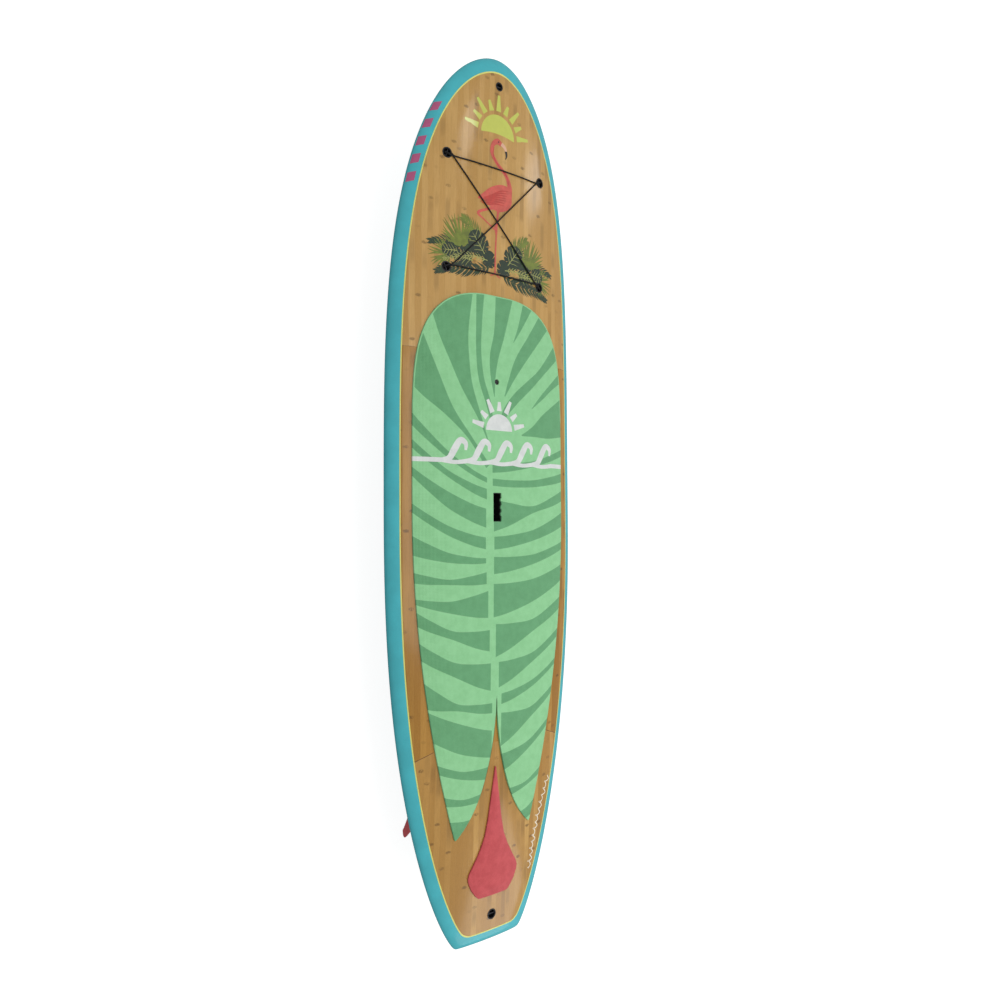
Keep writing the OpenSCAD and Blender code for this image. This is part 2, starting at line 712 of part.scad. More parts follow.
fin_screw_y = fin_base_front + fin_ear - 11;
fin_pin_y = fin_base_rear + 9;
fin_pin_r = 2.45;
fin_tab_w = fin_slot_w - 0.3;
fin_tab_h = 18.6;       // height of the tab over the board's bottom
ear_z = 4.2;            // underside of the ear that the screw clamps
ear_h = 4.5;
washer_z = 3.3;
washer_h = 0.8;
screw_head_z = 0.5;
screw_head_h = 2.7;
screw_head_r = 3.8;
screw_top = 15;         // end of the screw's shank

module centre_fin() {
    base_l = fin_base_front - fin_base_rear;
    color("indianred") placed() at_centre_fin() difference() {
        union() {
            blade(fin_base_front, fin_base_rear, fin_tip_front, fin_tip_rear, fin_depth, fin_tab_w, 4, 6);
            translate([-fin_tab_w / 2, fin_base_rear, 0.6]) cube([fin_tab_w, base_l, fin_tab_h - 0.6]);
            translate([-fin_tab_w / 2, fin_base_front - 1, ear_z]) cube([fin_tab_w, fin_ear + 1, ear_h]);
        }
        translate([0, fin_screw_y, 0]) cylinder(h = 12, r = screw_r + 0.25);
        translate([-10, fin_pin_y, groove_z + groove_h / 2]) rotate([0, 90, 0])
            cylinder(h = 20, r = fin_pin_r + running_gap);
    }
}

module centre_fin_pin() {
    reach = groove_w / 2 - 0.3;
    color("silver") placed() at_centre_fin()
        translate([-reach, fin_pin_y, groove_z + groove_h / 2]) rotate([0, 90, 0])
            cylinder(h = 2 * reach, r = fin_pin_r);
}

module fin_nut_plate() {
    color("silver") placed() at_centre_fin() translate([0, fin_screw_y, 0]) difference() {
        slab(12, groove_w - 0.8, groove_z + 0.4, groove_z + 4.4);
        translate([0, 0, groove_z - 1]) cylinder(h = 8, r = screw_r + running_gap);
    }
}

module fin_washer() {
    color("gainsboro") placed() at_centre_fin() translate([0, fin_screw_y, washer_z]) difference() {
        cylinder(h = washer_h, r = 4.3);
        translate([0, 0, -1]) cylinder(h = 3, r = screw_r + 0.1);
    }
}

module fin_screw() {
    color("gainsboro") placed() at_centre_fin() translate([0, fin_screw_y, screw_head_z]) difference() {
        union() {
            cylinder(h = screw_head_h, r = screw_head_r);
            cylinder(h = screw_top - screw_head_z, r = screw_r);
        }
        slab(1, 5, -1, 1.5);
        slab(5, 1, -1, 1.5);
    }
}

module side_screw_hole(r, from, to) {
    translate([0, side_slot_l / 2 + 6.4, 0]) rotate([side_screw_lean, 0, 0])
        translate([0, 0, from]) cylinder(h = to - from, r = r);
}

module side_fin_box(side) {
    color([0.09, 0.09, 0.1]) placed() at_side_fin(side) difference() {
        union() {
            slab(side_rim_l, side_rim_w, 0.2, side_rim_h);
            slab(side_box_l, side_box_w, 0.2, side_box_depth);
        }
        slab(side_slot_l, side_slot_w, -2, side_slot_depth);
        side_screw_hole(side_screw_r + running_gap, -4, 13);
    }
}

module side_fin(side) {
    tab_l = side_slot_l - 0.8;
    tab_w = side_slot_w - 0.3;
    color("indianred") placed() at_side_fin(side) difference() {
        union() {
            blade(tab_l / 2, -tab_l / 2, -76, -128, side_fin_depth, tab_w, 3, 5, side_tip_point, side_rear_sweep);
            slab(tab_l, tab_w, 0.5, side_slot_depth - 0.6);
        }
        side_screw_hole(side_screw_r + 0.4, 2, 14);
    }
}

module side_fin_screw(side) {
    color("silver") placed() at_side_fin(side) difference() {
        side_screw_hole(side_screw_r, 3, 12);
        side_screw_hole(1.25, 2, 6, $fn = 6);
    }
}

module side_fin_box_left() {
    side_fin_box(-1);
}

module side_fin_box_right() {
    side_fin_box(1);
}

module side_fin_left() {
    side_fin(-1);
}

module side_fin_right() {
    side_fin(1);
}

module side_fin_screw_left() {
    side_fin_screw(-1);
}

module side_fin_screw_right() {
    side_fin_screw(1);
}

foam_core_left();
foam_core_right();
stringer();
bottom_shell();
deck_panel();
pinline_tape();
deck_pad();
tail_pad();
handle_well();
handle_grip();
vent_housing();
vent_oring();
vent_screw();
nose_plug_cup();
nose_plug_bar();
leash_plug_cup();
leash_plug_bar();
anchor_cup_front_left();
anchor_cup_front_right();
anchor_cup_rear_left();
anchor_cup_rear_right();
anchor_bar_front_left();
anchor_bar_front_right();
anchor_bar_rear_left();
anchor_bar_rear_right();
bungee_cord();
centre_fin_box();
centre_fin();
centre_fin_pin();
fin_nut_plate();
fin_washer();
fin_screw();
side_fin_box_left();
side_fin_box_right();
side_fin_left();
side_fin_right();
side_fin_screw_left();
side_fin_screw_right();
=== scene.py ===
import json
import random
from math import atan, atan2, copysign, cos, dist, hypot, pi, radians, remainder, sin, sqrt

import bmesh
import bpy
from mathutils import Matrix, Vector
from mathutils.geometry import delaunay_2d_cdt

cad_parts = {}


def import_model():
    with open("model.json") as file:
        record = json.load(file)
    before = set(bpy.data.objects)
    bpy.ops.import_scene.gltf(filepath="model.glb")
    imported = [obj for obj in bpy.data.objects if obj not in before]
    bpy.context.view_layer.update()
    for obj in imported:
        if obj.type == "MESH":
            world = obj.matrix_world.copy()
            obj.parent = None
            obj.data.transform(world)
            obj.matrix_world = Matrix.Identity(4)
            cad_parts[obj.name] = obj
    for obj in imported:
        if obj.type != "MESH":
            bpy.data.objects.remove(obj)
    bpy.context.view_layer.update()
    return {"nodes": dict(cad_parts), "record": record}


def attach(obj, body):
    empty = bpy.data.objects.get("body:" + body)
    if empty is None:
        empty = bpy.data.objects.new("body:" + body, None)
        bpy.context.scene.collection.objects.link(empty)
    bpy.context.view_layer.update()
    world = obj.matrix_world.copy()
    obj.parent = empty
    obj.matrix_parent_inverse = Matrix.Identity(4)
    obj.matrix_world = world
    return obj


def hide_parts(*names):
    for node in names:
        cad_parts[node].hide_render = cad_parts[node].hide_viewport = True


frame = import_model()

# -------- shape of the board, in mm
# The same functions as in the CAD source. x to the right, y from the tail, z over the flat bottom.
BOARD_L, BOARD_W, BOARD_T, TAIL_W = 3200.0, 838.0, 118.0, 274.0
NOSE_ROCKER, TAIL_ROCKER = 134.0, 30.0
WIDE_Y, THICK_Y, FLAT_FROM, FLAT_TO = 1550.0, 1700.0, 1100.0, 1500.0
NOSE_POWER, NOSE_ROUND, TAIL_POWER, TAIL_ROUND = 3.7, 0.533, 2.355, 0.763
APEX, CROWN_POWER, FLAT_SHARE, CHINE_POWER = 0.3, 2.15, 0.55, 2.5
PAD_T, PAD_GAP = 5.0, 0.6


def unit(v):
    return max(0.0, min(1.0, v))


def tail_half(inset):
    return TAIL_W / 2 - 0.675 * inset


def nose_end(inset):
    return BOARD_L - 1.35 * inset


def half_w(y, inset=0.0):
    if y >= WIDE_Y:
        fore = unit((y - WIDE_Y) / (nose_end(inset) - WIDE_Y))
        return (BOARD_W / 2 - inset) * (1 - fore**NOSE_POWER) ** NOSE_ROUND
    aft = unit((WIDE_Y - y) / (WIDE_Y - inset))
    r = min(8 + 0.3 * inset, 0.6 * tail_half(inset))
    d = max(0.0, r - max(0.0, y - inset))
    full = (BOARD_W / 2 - inset - tail_half(inset)) * (1 - aft**TAIL_POWER) ** TAIL_ROUND
    return tail_half(inset) + full - (r - sqrt(max(0.0, r * r - d * d)))


def rocker(y):
    return (NOSE_ROCKER * unit((y - FLAT_TO) / (BOARD_L - FLAT_TO)) ** 3
            + TAIL_ROCKER * unit((FLAT_FROM - y) / FLAT_FROM) ** 2.2)


def thickness(y):
    if y >= THICK_Y:
        return 24 + (BOARD_T - 24) * (1 - unit((y - THICK_Y) / (BOARD_L - THICK_Y)) ** 2.6)
    return 36 + (BOARD_T - 36) * (1 - unit((THICK_Y - y) / THICK_Y) ** 2.6)


def closing(y):
    n, t = 1 - unit((BOARD_L - y) / 45), 1 - unit(y / 22)
    return sqrt(1 - n * n) * sqrt(1 - t * t)


def apex_z(y):
    return rocker(y) + APEX * thickness(y)


def across(x, y):
    h = half_w(y)
    return 0.0 if h < 0.01 else unit(abs(x) / h)


def deck_z(x, y):
    y = max(0.0, min(BOARD_L, y))
    return apex_z(y) + (1 - APEX) * thickness(y) * closing(y) * sqrt(1 - across(x, y) ** CROWN_POWER)


def bottom_z(x, y):
    y = max(0.0, min(BOARD_L, y))
    e = unit((across(x, y) - FLAT_SHARE) / (1 - FLAT_SHARE))
    return apex_z(y) - APEX * thickness(y) * closing(y) * sqrt(1 - e**CHINE_POWER)


FIN_Y, FIN_DEPTH, FIN_FRONT, FIN_REAR, FIN_TIP_FRONT, FIN_TIP_REAR = 325.0, 230.0, 70.0, -94.0, -93.0, -128.0
FIN_TILT = atan((bottom_z(0, FIN_Y + 1) - bottom_z(0, FIN_Y - 1)) / 2)
fin_tip_y = (FIN_TIP_FRONT * 0.35 + FIN_TIP_REAR * 0.65) * 0.91 + FIN_TIP_FRONT * 0.09
RIDE_H = FIN_DEPTH * cos(FIN_TILT) - fin_tip_y * sin(FIN_TILT) - bottom_z(0, FIN_Y)


def world(x, y, z):
    """A point of the board in the row frame, in metres."""
    return Vector((x / 1000, (y - BOARD_L / 2) / 1000, (z + RIDE_H) / 1000))


def deck_normal(x, y):
    sx = deck_z(x + 0.5, y) - deck_z(x - 0.5, y)
    sy = deck_z(x, y + 0.5) - deck_z(x, y - 0.5)
    return Vector((-sx, -sy, 1)).normalized()


def on_deck(x, y, lift=0.0):
    n = deck_normal(x, y)
    return world(x + n.x * lift, y + n.y * lift, deck_z(x, y) + n.z * lift)


# -------- camera
# The viewing angle: the board lies flat and the camera looks down at it from its left side.
scene = bpy.context.scene
YAW, PITCH, ROLL = radians(38.06), radians(-2.117), radians(0.394)
AIM_Z = 60  # the camera's place is measured from a point this high over the flat bottom, in mm
PLACE = Vector((0.04824, -0.0119, 3.02223))  # along the camera's own axes, in m
SENSOR, FOCAL = 36, 0.8214  # in mm, and in widths of the sensor
turn = Matrix.Rotation(ROLL, 3, "Z") @ Matrix.Rotation(PITCH, 3, "X") @ Matrix.Rotation(YAW, 3, "Y")
eye = turn.transposed() @ PLACE + Vector((0, 0, (AIM_Z + RIDE_H) / 1000))
camera_data = bpy.data.cameras.new("camera")
camera_data.sensor_width = SENSOR
camera_data.lens = FOCAL * SENSOR
camera = bpy.data.objects.new("camera", camera_data)
camera.matrix_world = Matrix.Translation(eye) @ turn.transposed().to_4x4()
scene.collection.objects.link(camera)
scene.camera = camera
scene.view_settings.view_transform = "Standard"

# -------- materials


class Nodes:
    """Builds a material's nodes with short calls."""

    def __init__(self, name, rough, **sockets):
        self.m = bpy.data.materials.new(name)
        self.m.use_nodes = True
        self.t = self.m.node_tree
        self.b = self.t.nodes["Principled BSDF"]
        self.b.inputs["Roughness"].default_value = rough
        for k, v in sockets.items():
            self.b.inputs[k.replace("_", " ")].default_value = v

    def put(self, socket, value):
        if isinstance(value, bpy.types.NodeSocket):
            self.t.links.new(value, socket)
        elif value is not None:
            socket.default_value = value

    def node(self, kind, *inputs, out=0, **settings):
        n = self.t.nodes.new("ShaderNode" + kind)
        for k, v in settings.items():
            setattr(n, k, v)
        for s, v in zip(n.inputs, inputs):
            self.put(s, v)
        return n.outputs[out]

    def math(self, op, a, b=None, c=None):
        return self.node("Math", a, b, c, operation=op)

    def mul(self, a, b):
        return self.math("MULTIPLY", a, b)

    def add(self, a, b):
        return self.math("ADD", a, b)

    def sub(self, a, b):
        return self.math("SUBTRACT", a, b)

    def wave(self, value, pitch):
        return self.math("SINE", self.mul(value, 2 * pi / pitch))

    def place(self):
        """The point on the object in mm, and its x and y."""
        co = self.node("TexCoord", out=3)
        p = self.node("VectorMath", co, (1000, 1000, 1000), operation="MULTIPLY")
        return p, self.node("SeparateXYZ", p), self.node("SeparateXYZ", p, out=1)

    def join(self, x, y, z=0.0):
        return self.node("CombineXYZ", x, y, z)

    def noise(self, vector, scale, detail=3.0, rough=0.5, stretch=None):
        if stretch:
            vector = self.node("VectorMath", vector, stretch, operation="MULTIPLY")
        return self.node("TexNoise", vector, None, scale, detail, rough)

    def white(self, vector):
        return self.node("TexWhiteNoise", vector, noise_dimensions="3D")

    def ramp(self, value, low, high, a=0.0, b=1.0, kind="SMOOTHSTEP"):
        return self.node("MapRange", value, low, high, a, b, interpolation_type=kind)

    def mix(self, fac, a, b):
        return self.node("Mix", fac, None, None, None, None, None, a, b, out=2, data_type="RGBA")

    def done(self, colour, rough, height, distance):
        """The material, with its colour, its roughness and a bump so many metres high."""
        bump = self.t.nodes.new("ShaderNodeBump")
        for key, value in (("Strength", 1.0), ("Distance", distance), ("Height", height)):
            self.put(bump.inputs[key], value)
        for key, value in (("Base Color", colour), ("Roughness", rough), ("Normal", bump.outputs[0])):
            self.put(self.b.inputs[key], value)
        return self.m


def srgb(r, g, b):
    """A colour given as it shows on screen, 0 to 255."""
    def lin(c):
        c /= 255
        return c / 12.92 if c <= 0.04045 else ((c + 0.055) / 1.055) ** 2.4
    return (lin(r), lin(g), lin(b), 1.0)


def scaled(colour, k):
    return (colour[0] * k, colour[1] * k, colour[2] * k, 1.0)


SHINE = 0.02  # what the surroundings' reflection adds to a surface


def paint(r, g, b):
    """The colour of a surface that should look like this in the studio's light."""
    c = srgb(r, g, b)
    return tuple(max(0.003, (v - SHINE) / (1 - SHINE)) for v in c[:3]) + (1.0,)


def painted(name, colour, rough=0.4, coat=1.0, spread=0.12, scale=0.05):
    n = Nodes(name, rough, Coat_Weight=coat, Coat_Roughness=0.08, Specular_IOR_Level=0.3)
    p = n.place()[0]
    blotch = n.noise(p, scale, 4, 0.6)
    fine = n.noise(p, 0.9, 2, 0.5)
    c = n.mix(n.ramp(blotch, 0.3, 0.7), scaled(colour, 1 - spread), scaled(colour, 1 + spread))
    c = n.mix(n.ramp(fine, 0.35, 0.65, 0.0, 0.25), c, scaled(colour, 1 - 2 * spread))
    return n.done(c, n.ramp(fine, 0.2, 0.8, rough - 0.05, rough + 0.08), n.noise(p, 0.25, 2), 0.00004)


STRIP_W, PLANK_W, NODE_STEP = 22.0, 84.0, 310.0


def bamboo(name, light, dark, shift):
    """Bamboo strips side by side, each with a tone, streaks and dark nodes of its own."""
    n = Nodes(name, 0.5, Coat_Weight=0.55, Coat_Roughness=0.12, Specular_IOR_Level=0.25)
    p, x, y = n.place()
    wobble = n.mul(n.sub(n.noise(p, 0.004, 1), 0.5), 14.0)
    sx = n.math("DIVIDE", n.add(n.add(x, shift), wobble), STRIP_W)
    strip = n.math("FLOOR", sx)
    tone = n.white(n.join(strip, shift, 3.0))
    side = n.math("ABSOLUTE", n.sub(n.math("FRACT", sx), 0.5))
    # One dark node in each length of a strip, at a place that differs from strip to strip.
    sy = n.add(n.math("DIVIDE", y, NODE_STEP), n.mul(tone, 17.0))
    pick = n.white(n.join(strip, n.math("FLOOR", sy), 7.0))
    off = n.sub(n.math("FRACT", sy), n.math("MULTIPLY_ADD", pick, 0.6, 0.2))
    off = n.add(off, n.mul(n.sub(n.noise(p, 0.12, 1), 0.5), 0.02))
    tall, across = n.mul(off, 46.0), n.mul(side, 1.8)
    mark = n.add(n.mul(tall, tall), n.mul(across, across))
    mark = n.mul(n.ramp(mark, 0.15, 1.1, 1.0, 0.0), n.ramp(pick, 0.12, 0.6))
    mark = n.mul(mark, n.ramp(n.noise(p, 0.16, 3, 0.6, stretch=(1.0, 0.7, 1.0)), 0.25, 0.55))
    plank = n.white(n.join(n.math("FLOOR", n.math("DIVIDE", n.add(x, shift), PLANK_W)), shift, 11.0))
    # Some strips have a longer brown streak.
    streak = n.noise(n.join(n.mul(strip, 31.7), n.mul(y, 0.0045)), 1.0, 2)
    streak = n.mul(n.ramp(streak, 0.54, 0.66), n.ramp(side, 0.3, 0.5, 1.0, 0.0))
    grain = n.noise(p, 0.55, 4, 0.65, stretch=(1.0, 0.02, 1.0))
    fibre = n.noise(p, 2.2, 2, 0.5, stretch=(1.0, 0.03, 1.0))
    cloud = n.noise(p, 0.006, 3, 0.5, stretch=(1.0, 0.5, 1.0))
    c = n.mix(tone, light, dark)
    for share, tint in (
        (n.ramp(plank, 0.0, 1.0, 0.0, 0.4), scaled(dark, 0.96)),
        (n.ramp(cloud, 0.35, 0.65, 0.0, 0.45), scaled(dark, 0.93)),
        (n.ramp(grain, 0.3, 0.75, 0.0, 0.4), scaled(dark, 0.72)),
        (n.ramp(fibre, 0.4, 0.8, 0.0, 0.22), scaled(light, 1.12)),
        (n.ramp(side, 0.47, 0.5, 0.0, 0.28), scaled(dark, 0.55)),
        (n.mul(streak, 0.42), scaled(dark, 0.5)),
        (n.mul(mark, 0.72), scaled(dark, 0.36)),
    ):
        c = n.mix(share, c, tint)
    return n.done(c, n.ramp(grain, 0.2, 0.8, 0.36, 0.5), grain, 0.00003)


def foam(name, colour, dark):
    """Closed-cell foam with fine grooves both ways."""
    n = Nodes(name, 0.85, Sheen_Weight=0.12, Sheen_Roughness=0.6)
    p, x, y = n.place()
    grid = n.add(n.mul(n.wave(x, 5.0), 0.5), n.mul(n.wave(y, 5.0), 0.3))
    blotch = n.noise(p, 0.03, 4, 0.6)
    cells = n.noise(p, 1.1, 3, 0.6)
    c = n.mix(n.ramp(blotch, 0.3, 0.7), dark, colour)
    # Painted shade: the foam is darker in the grooves' troughs, where the relief is low.
    c = n.mix(n.ramp(grid, -0.8, 0.8, 0.16, 0.0), c, scaled(dark, 0.72))
    c = n.mix(n.ramp(cells, 0.35, 0.7, 0.0, 0.22), c, scaled(colour, 1.2))
    return n.done(c, n.ramp(cells, 0.2, 0.8, 0.75, 0.95), n.add(grid, cells), 0.00035)


def moulded(name, colour, rough=0.45, scale=1.2, bump=0.00005, coat=0.0):
    n = Nodes(name, rough, Coat_Weight=coat, Coat_Roughness=0.15)
    p = n.place()[0]
    fine = n.noise(p, scale, 4, 0.6)
    c = n.mix(n.ramp(n.noise(p, 0.03), 0.3, 0.7), scaled(colour, 0.88), scaled(colour, 1.1))
    c = n.mix(n.ramp(fine, 0.3, 0.7, 0.0, 0.3), c, scaled(colour, 0.75))
    return n.done(c, n.ramp(fine, 0.25, 0.75, rough - 0.07, rough + 0.1), fine, bump)


def brushed(name, colour, rough=0.3):
    n = Nodes(name, rough, Metallic=1.0)
    streak = n.noise(n.place()[0], 2.0, 3, 0.6, stretch=(0.05, 1.0, 1.0))
    c = n.mix(n.ramp(streak, 0.3, 0.7), scaled(colour, 0.8), scaled(colour, 1.1))
    return n.done(c, n.ramp(streak, 0.3, 0.7, rough - 0.08, rough + 0.12), streak, 0.00002)


def braid(name):
    n = Nodes(name, 0.8)
    _, x, y = n.place()
    weave = n.mul(n.wave(n.add(x, y), 2.2), n.wave(n.sub(x, y), 2.2))
    # Painted shade and highlight: the sheath is darker in the weave's hollows and lighter on its crests.
    return n.done(n.mix(n.ramp(weave, -0.6, 0.6), srgb(7, 7, 8), srgb(22, 22, 24)), None, weave, 0.0003)


wood_front = bamboo("bamboo_front", paint(213, 174, 112), paint(182, 140, 78), 0.0)
wood_tail = bamboo("bamboo_tail", paint(206, 164, 96), paint(166, 122, 60), 90.0)
green_light = foam("foam_light_green", paint(146, 206, 152), paint(136, 197, 142))
foam_white = foam("foam_white_print", paint(221, 224, 222), paint(208, 212, 210))
seam = painted("seam_brown", paint(96, 64, 34), 0.5, 1.0, 0.1, 0.1)
# The print's colours as they show, and how much each varies
PRINTS = {
    "yellow": ((193, 199, 92), 0.03), "pink": ((204, 92, 80), 0.14), "pink_dark": ((186, 66, 58), 0.14),
    "black": ((28, 24, 22), 0.1), "leaf": ((112, 124, 50), 0.25), "fern": ((48, 66, 40), 0.3),
    "deep": ((34, 56, 40), 0.2), "light_leaf": ((160, 162, 92), 0.2), "rail_pink": ((176, 84, 124), 0.06),
    "cream": ((236, 226, 205), 0.03), "beak": ((222, 176, 146), 0.05),
}
FINE_PRINT = ("pink", "pink_dark", "black")
prints = {word: painted("print_" + word, paint(*rgb), spread=spread, scale=0.06 if word in FINE_PRINT else 0.05)
          for word, (rgb, spread) in PRINTS.items()}
# The usual material of each slot
LOOKS = {
    "foam_core": moulded("core_foam", srgb(236, 234, 226), 0.9, 0.5, 0.0003),
    "stringer_wood": bamboo("stringer_wood", paint(196, 160, 110), paint(170, 130, 80), 10.0),
    "teal_laminate": painted("teal_paint", paint(76, 178, 188), 0.45, 0.35, 0.07, 0.012),
    "bamboo_veneer": bamboo("bamboo_middle", paint(196, 150, 76), paint(154, 108, 44), 40.0),
    "pinline": painted("pale_yellow_line", paint(220, 222, 124), 0.4, 0.4, 0.05, 0.02),
    "green_foam": foam("foam_dark_green", paint(106, 166, 119), paint(99, 157, 111)),
    "coral_foam": foam("foam_coral", paint(201, 88, 92), paint(186, 76, 80)),
    "black_plastic": moulded("black_plastic", srgb(15, 15, 17), 0.55, 0.8),
    "vent_plastic": moulded("vent_plastic", srgb(34, 34, 37), 0.35, 0.8),
    "black_rubber": moulded("black_rubber", srgb(12, 12, 12), 0.75, 2.0),
    # Painted shade: the bars' steel is far darker than bright steel, to look like bars in shade deep in their cups.
    "bar_steel": brushed("satin_steel", srgb(66, 66, 70), 0.5),
    "screw_steel": brushed("screw_steel", srgb(190, 190, 194), 0.26),
    "black_cord": braid("cord_sheath"),
    # Painted light: the fin's coral is brighter than its own colour, to make up for the shade under the board.
    "coral_fin": moulded("coral_fin", paint(214, 90, 94), 0.35, 0.3, 0.00006, 0.4),
}
for part in frame["record"]["subparts"]:
    for s in frame["nodes"][part["node"]].material_slots:
        s.material = LOOKS[part["material_slot"]]

# -------- pieces


def make(name, points, faces, material, slot, body="board", replaces=(), normals=None, sharp=None):
    """One mesh from points in metres; it rides on a body and may stand for CAD nodes.

    normals holds one normal for each corner of each face."""
    mesh = bpy.data.meshes.new(name)
    mesh.from_pydata([tuple(p) for p in points], [], faces)
    mesh.materials.append(material)
    mesh.shade_smooth()
    if normals:
        mesh.normals_split_custom_set([tuple(n) for given in normals for n in given])
    elif sharp:
        mesh.set_sharp_from_angle(angle=radians(sharp))
    obj = bpy.data.objects.new(name, mesh)
    scene.collection.objects.link(obj)
    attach(obj, body)
    if replaces:
        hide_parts(*replaces)
    return obj


def clean(form):
    """A closed form's points and faces, with doubled points joined and the faces turned outwards."""
    bm = bmesh.new()
    verts = [bm.verts.new(p) for p in form[0]]
    for f in form[1]:
        bm.faces.new([verts[i] for i in f])
    bmesh.ops.remove_doubles(bm, verts=bm.verts, dist=0.00001)
    bmesh.ops.dissolve_degenerate(bm, edges=bm.edges, dist=0.000001)
    bmesh.ops.recalc_face_normals(bm, faces=bm.faces)
    bm.verts.index_update()
    out = [v.co.copy() for v in bm.verts], [[v.index for v in f.verts] for f in bm.faces]
    bm.free()
    return out


def solid(name, form, slot, body="board", replaces=(), sharp=35):
    return make(name, *clean(form), LOOKS[slot], slot, body, replaces, sharp=sharp)


class Loop:
    """A closed outline with its box, for quick tests of what lies inside it."""

    def __init__(self, points):
        self.p = [tuple(q) for q in points]
        self.sides = list(zip(self.p, self.p[-1:] + self.p))
        self.x0, self.x1 = min(q[0] for q in self.p), max(q[0] for q in self.p)
        self.y0, self.y1 = min(q[1] for q in self.p), max(q[1] for q in self.p)

    def holds(self, x, y):
        hit = False
        if self.x0 <= x <= self.x1 and self.y0 <= y <= self.y1:
            for (xi, yi), (xj, yj) in self.sides:
                if (yi > y) != (yj > y) and x < (xj - xi) * (y - yi) / (yj - yi) + xi:
                    hit = not hit
        return hit


def in_any(loops, x, y):
    return any(k.holds(x, y) for k in loops)


def fill(outlines, holes=(), lines=(), step=12.0, step_y=None):
    """Triangles inside any outline and outside every hole, with a grid of points within.

    lines are closed outlines that the triangles' edges follow. Each triangle comes with its middle."""
    outlines, holes, lines = [Loop(o) for o in outlines], [Loop(h) for h in holes], [Loop(k) for k in lines]
    step_y = step_y or step
    points, edges, near = [], [], set()
    for loop in outlines + holes + lines:
        start, n = len(points), len(loop.p)
        points += loop.p
        edges += [(start + i, start + (i + 1) % n) for i in range(n)]
        for i in range(n):
            (ax, ay), (bx, by) = loop.p[i], loop.p[(i + 1) % n]
            parts = int(max(abs(bx - ax) / step, abs(by - ay) / step_y) * 3) + 1
            for k in range(parts):
                near.add((round((ax + (bx - ax) * k / parts) / step * 2),
                          round((ay + (by - ay) * k / parts) / step_y * 2)))
    x0, x1 = min(o.x0 for o in outlines), max(o.x1 for o in outlines)
    y0, y1 = min(o.y0 for o in outlines), max(o.y1 for o in outlines)
    for j in range(1, int((y1 - y0) / step_y) + 1):
        for i in range(1, int((x1 - x0) / step) + 1):
            x = x0 + step * i + (step / 2 if j % 2 else 0)
            y = y0 + step_y * j
            if (round(x / step * 2), round(y / step_y * 2)) in near:
                continue
            if in_any(outlines, x, y) and not in_any(holes, x, y):
                points.append((x, y))
    verts, _, faces, _, _, _ = delaunay_2d_cdt([Vector(p) for p in points], edges, [], 0, 0.001)
    keep = []
    for f in faces:
        a, b, c = (verts[i] for i in f[:3])
        area = (b[0] - a[0]) * (c[1] - a[1]) - (b[1] - a[1]) * (c[0] - a[0])
        cx, cy = sum(verts[i][0] for i in f) / len(f), sum(verts[i][1] for i in f) / len(f)
        if abs(area) > 1e-4 and in_any(outlines, cx, cy) and not in_any(holes, cx, cy):
            keep.append((tuple(f) if area > 0 else tuple(reversed(f)), cx, cy))
    return [tuple(v) for v in verts], keep


def spline(knots, n=12, closed=False):
    """A smooth curve through the knots, as points."""
    k = len(knots)
    out = []
    for i in range(k if closed else k - 1):
        p = [knots[(i + d) % k if closed else max(0, min(k - 1, i + d))] for d in (-1, 0, 1, 2)]
        for s in range(n):
            t = s / n
            out.append(tuple(
                0.5 * (2 * b + (c - a) * t + (2 * a - 5 * b + 4 * c - d) * t * t + (3 * b - a - 3 * c + d) * t**3)
                for a, b, c, d in zip(*p)))
    if not closed:
        out.append(tuple(knots[-1]))
    return out


def along(a, b):
    """The direction from a to b, one unit long."""
    dx, dy = b[0] - a[0], b[1] - a[1]
    d = hypot(dx, dy) or 1.0
    return dx / d, dy / d


def ribbon(knots, n=8):
    """The outline of a stroke through knots (x, y, half width)."""
    line = spline(knots, n)
    left, right = [], []
    for i, (x, y, w) in enumerate(line):
        dx, dy = along(line[max(0, i - 1)], line[min(len(line) - 1, i + 1)])
        w = max(w, 0.2)
        left.append((x - dy * w, y + dx * w))
        right.append((x + dy * w, y - dx * w))
    return left + right[::-1]


def turned(x, y, a, points):
    """Points (along, aside) turned to angle a and moved to x, y; what else a point holds is kept."""
    c, s = cos(a), sin(a)
    return [(x + u * c - v * s, y + u * s + v * c, *rest) for u, v, *rest in points]


def circle(x, y, r, n=48):
    return [(x + r * cos(2 * pi * k / n), y + r * sin(2 * pi * k / n)) for k in range(n)]


def rounded(loop, r, n=6):
    """The outline with each corner of r (one radius for each point, 0 for none) rounded."""
    out = []
    for i, p in enumerate(loop):
        if not r[i]:
            out.append(p)
            continue
        ends = []
        for q in (loop[i - 1], loop[(i + 1) % len(loop)]):
            t = min(r[i] / dist(q, p), 0.5)
            ends.append((p[0] + (q[0] - p[0]) * t, p[1] + (q[1] - p[1]) * t))
        for s in range(n + 1):
            t = s / n
            out.append(tuple((1 - t)**2 * u + 2 * t * (1 - t) * v + t * t * w
                             for u, v, w in zip(ends[0], p, ends[1])))
    return out


def used_only(faces):
    """The points that the faces use, and the faces renumbered to them."""
    used = sorted({i for f in faces for i in f})
    place = {k: n for n, k in enumerate(used)}
    return used, [tuple(place[i] for i in f) for f in faces]


def decal(name, shapes, material, lift, step, slot="bamboo_veneer", holes=(), cut=None):
    """Flat shapes joined into one thin print laid over the deck."""
    verts, tris = fill(shapes, holes, step=step)
    used, faces = used_only([f for f, x, y in tris if not cut or cut(x, y)])
    ups = [deck_normal(*verts[i]) for i in used]
    return make(name, [on_deck(*verts[i], lift) for i in used], faces, material, slot,
                normals=[[ups[i] for i in f] for f in faces])


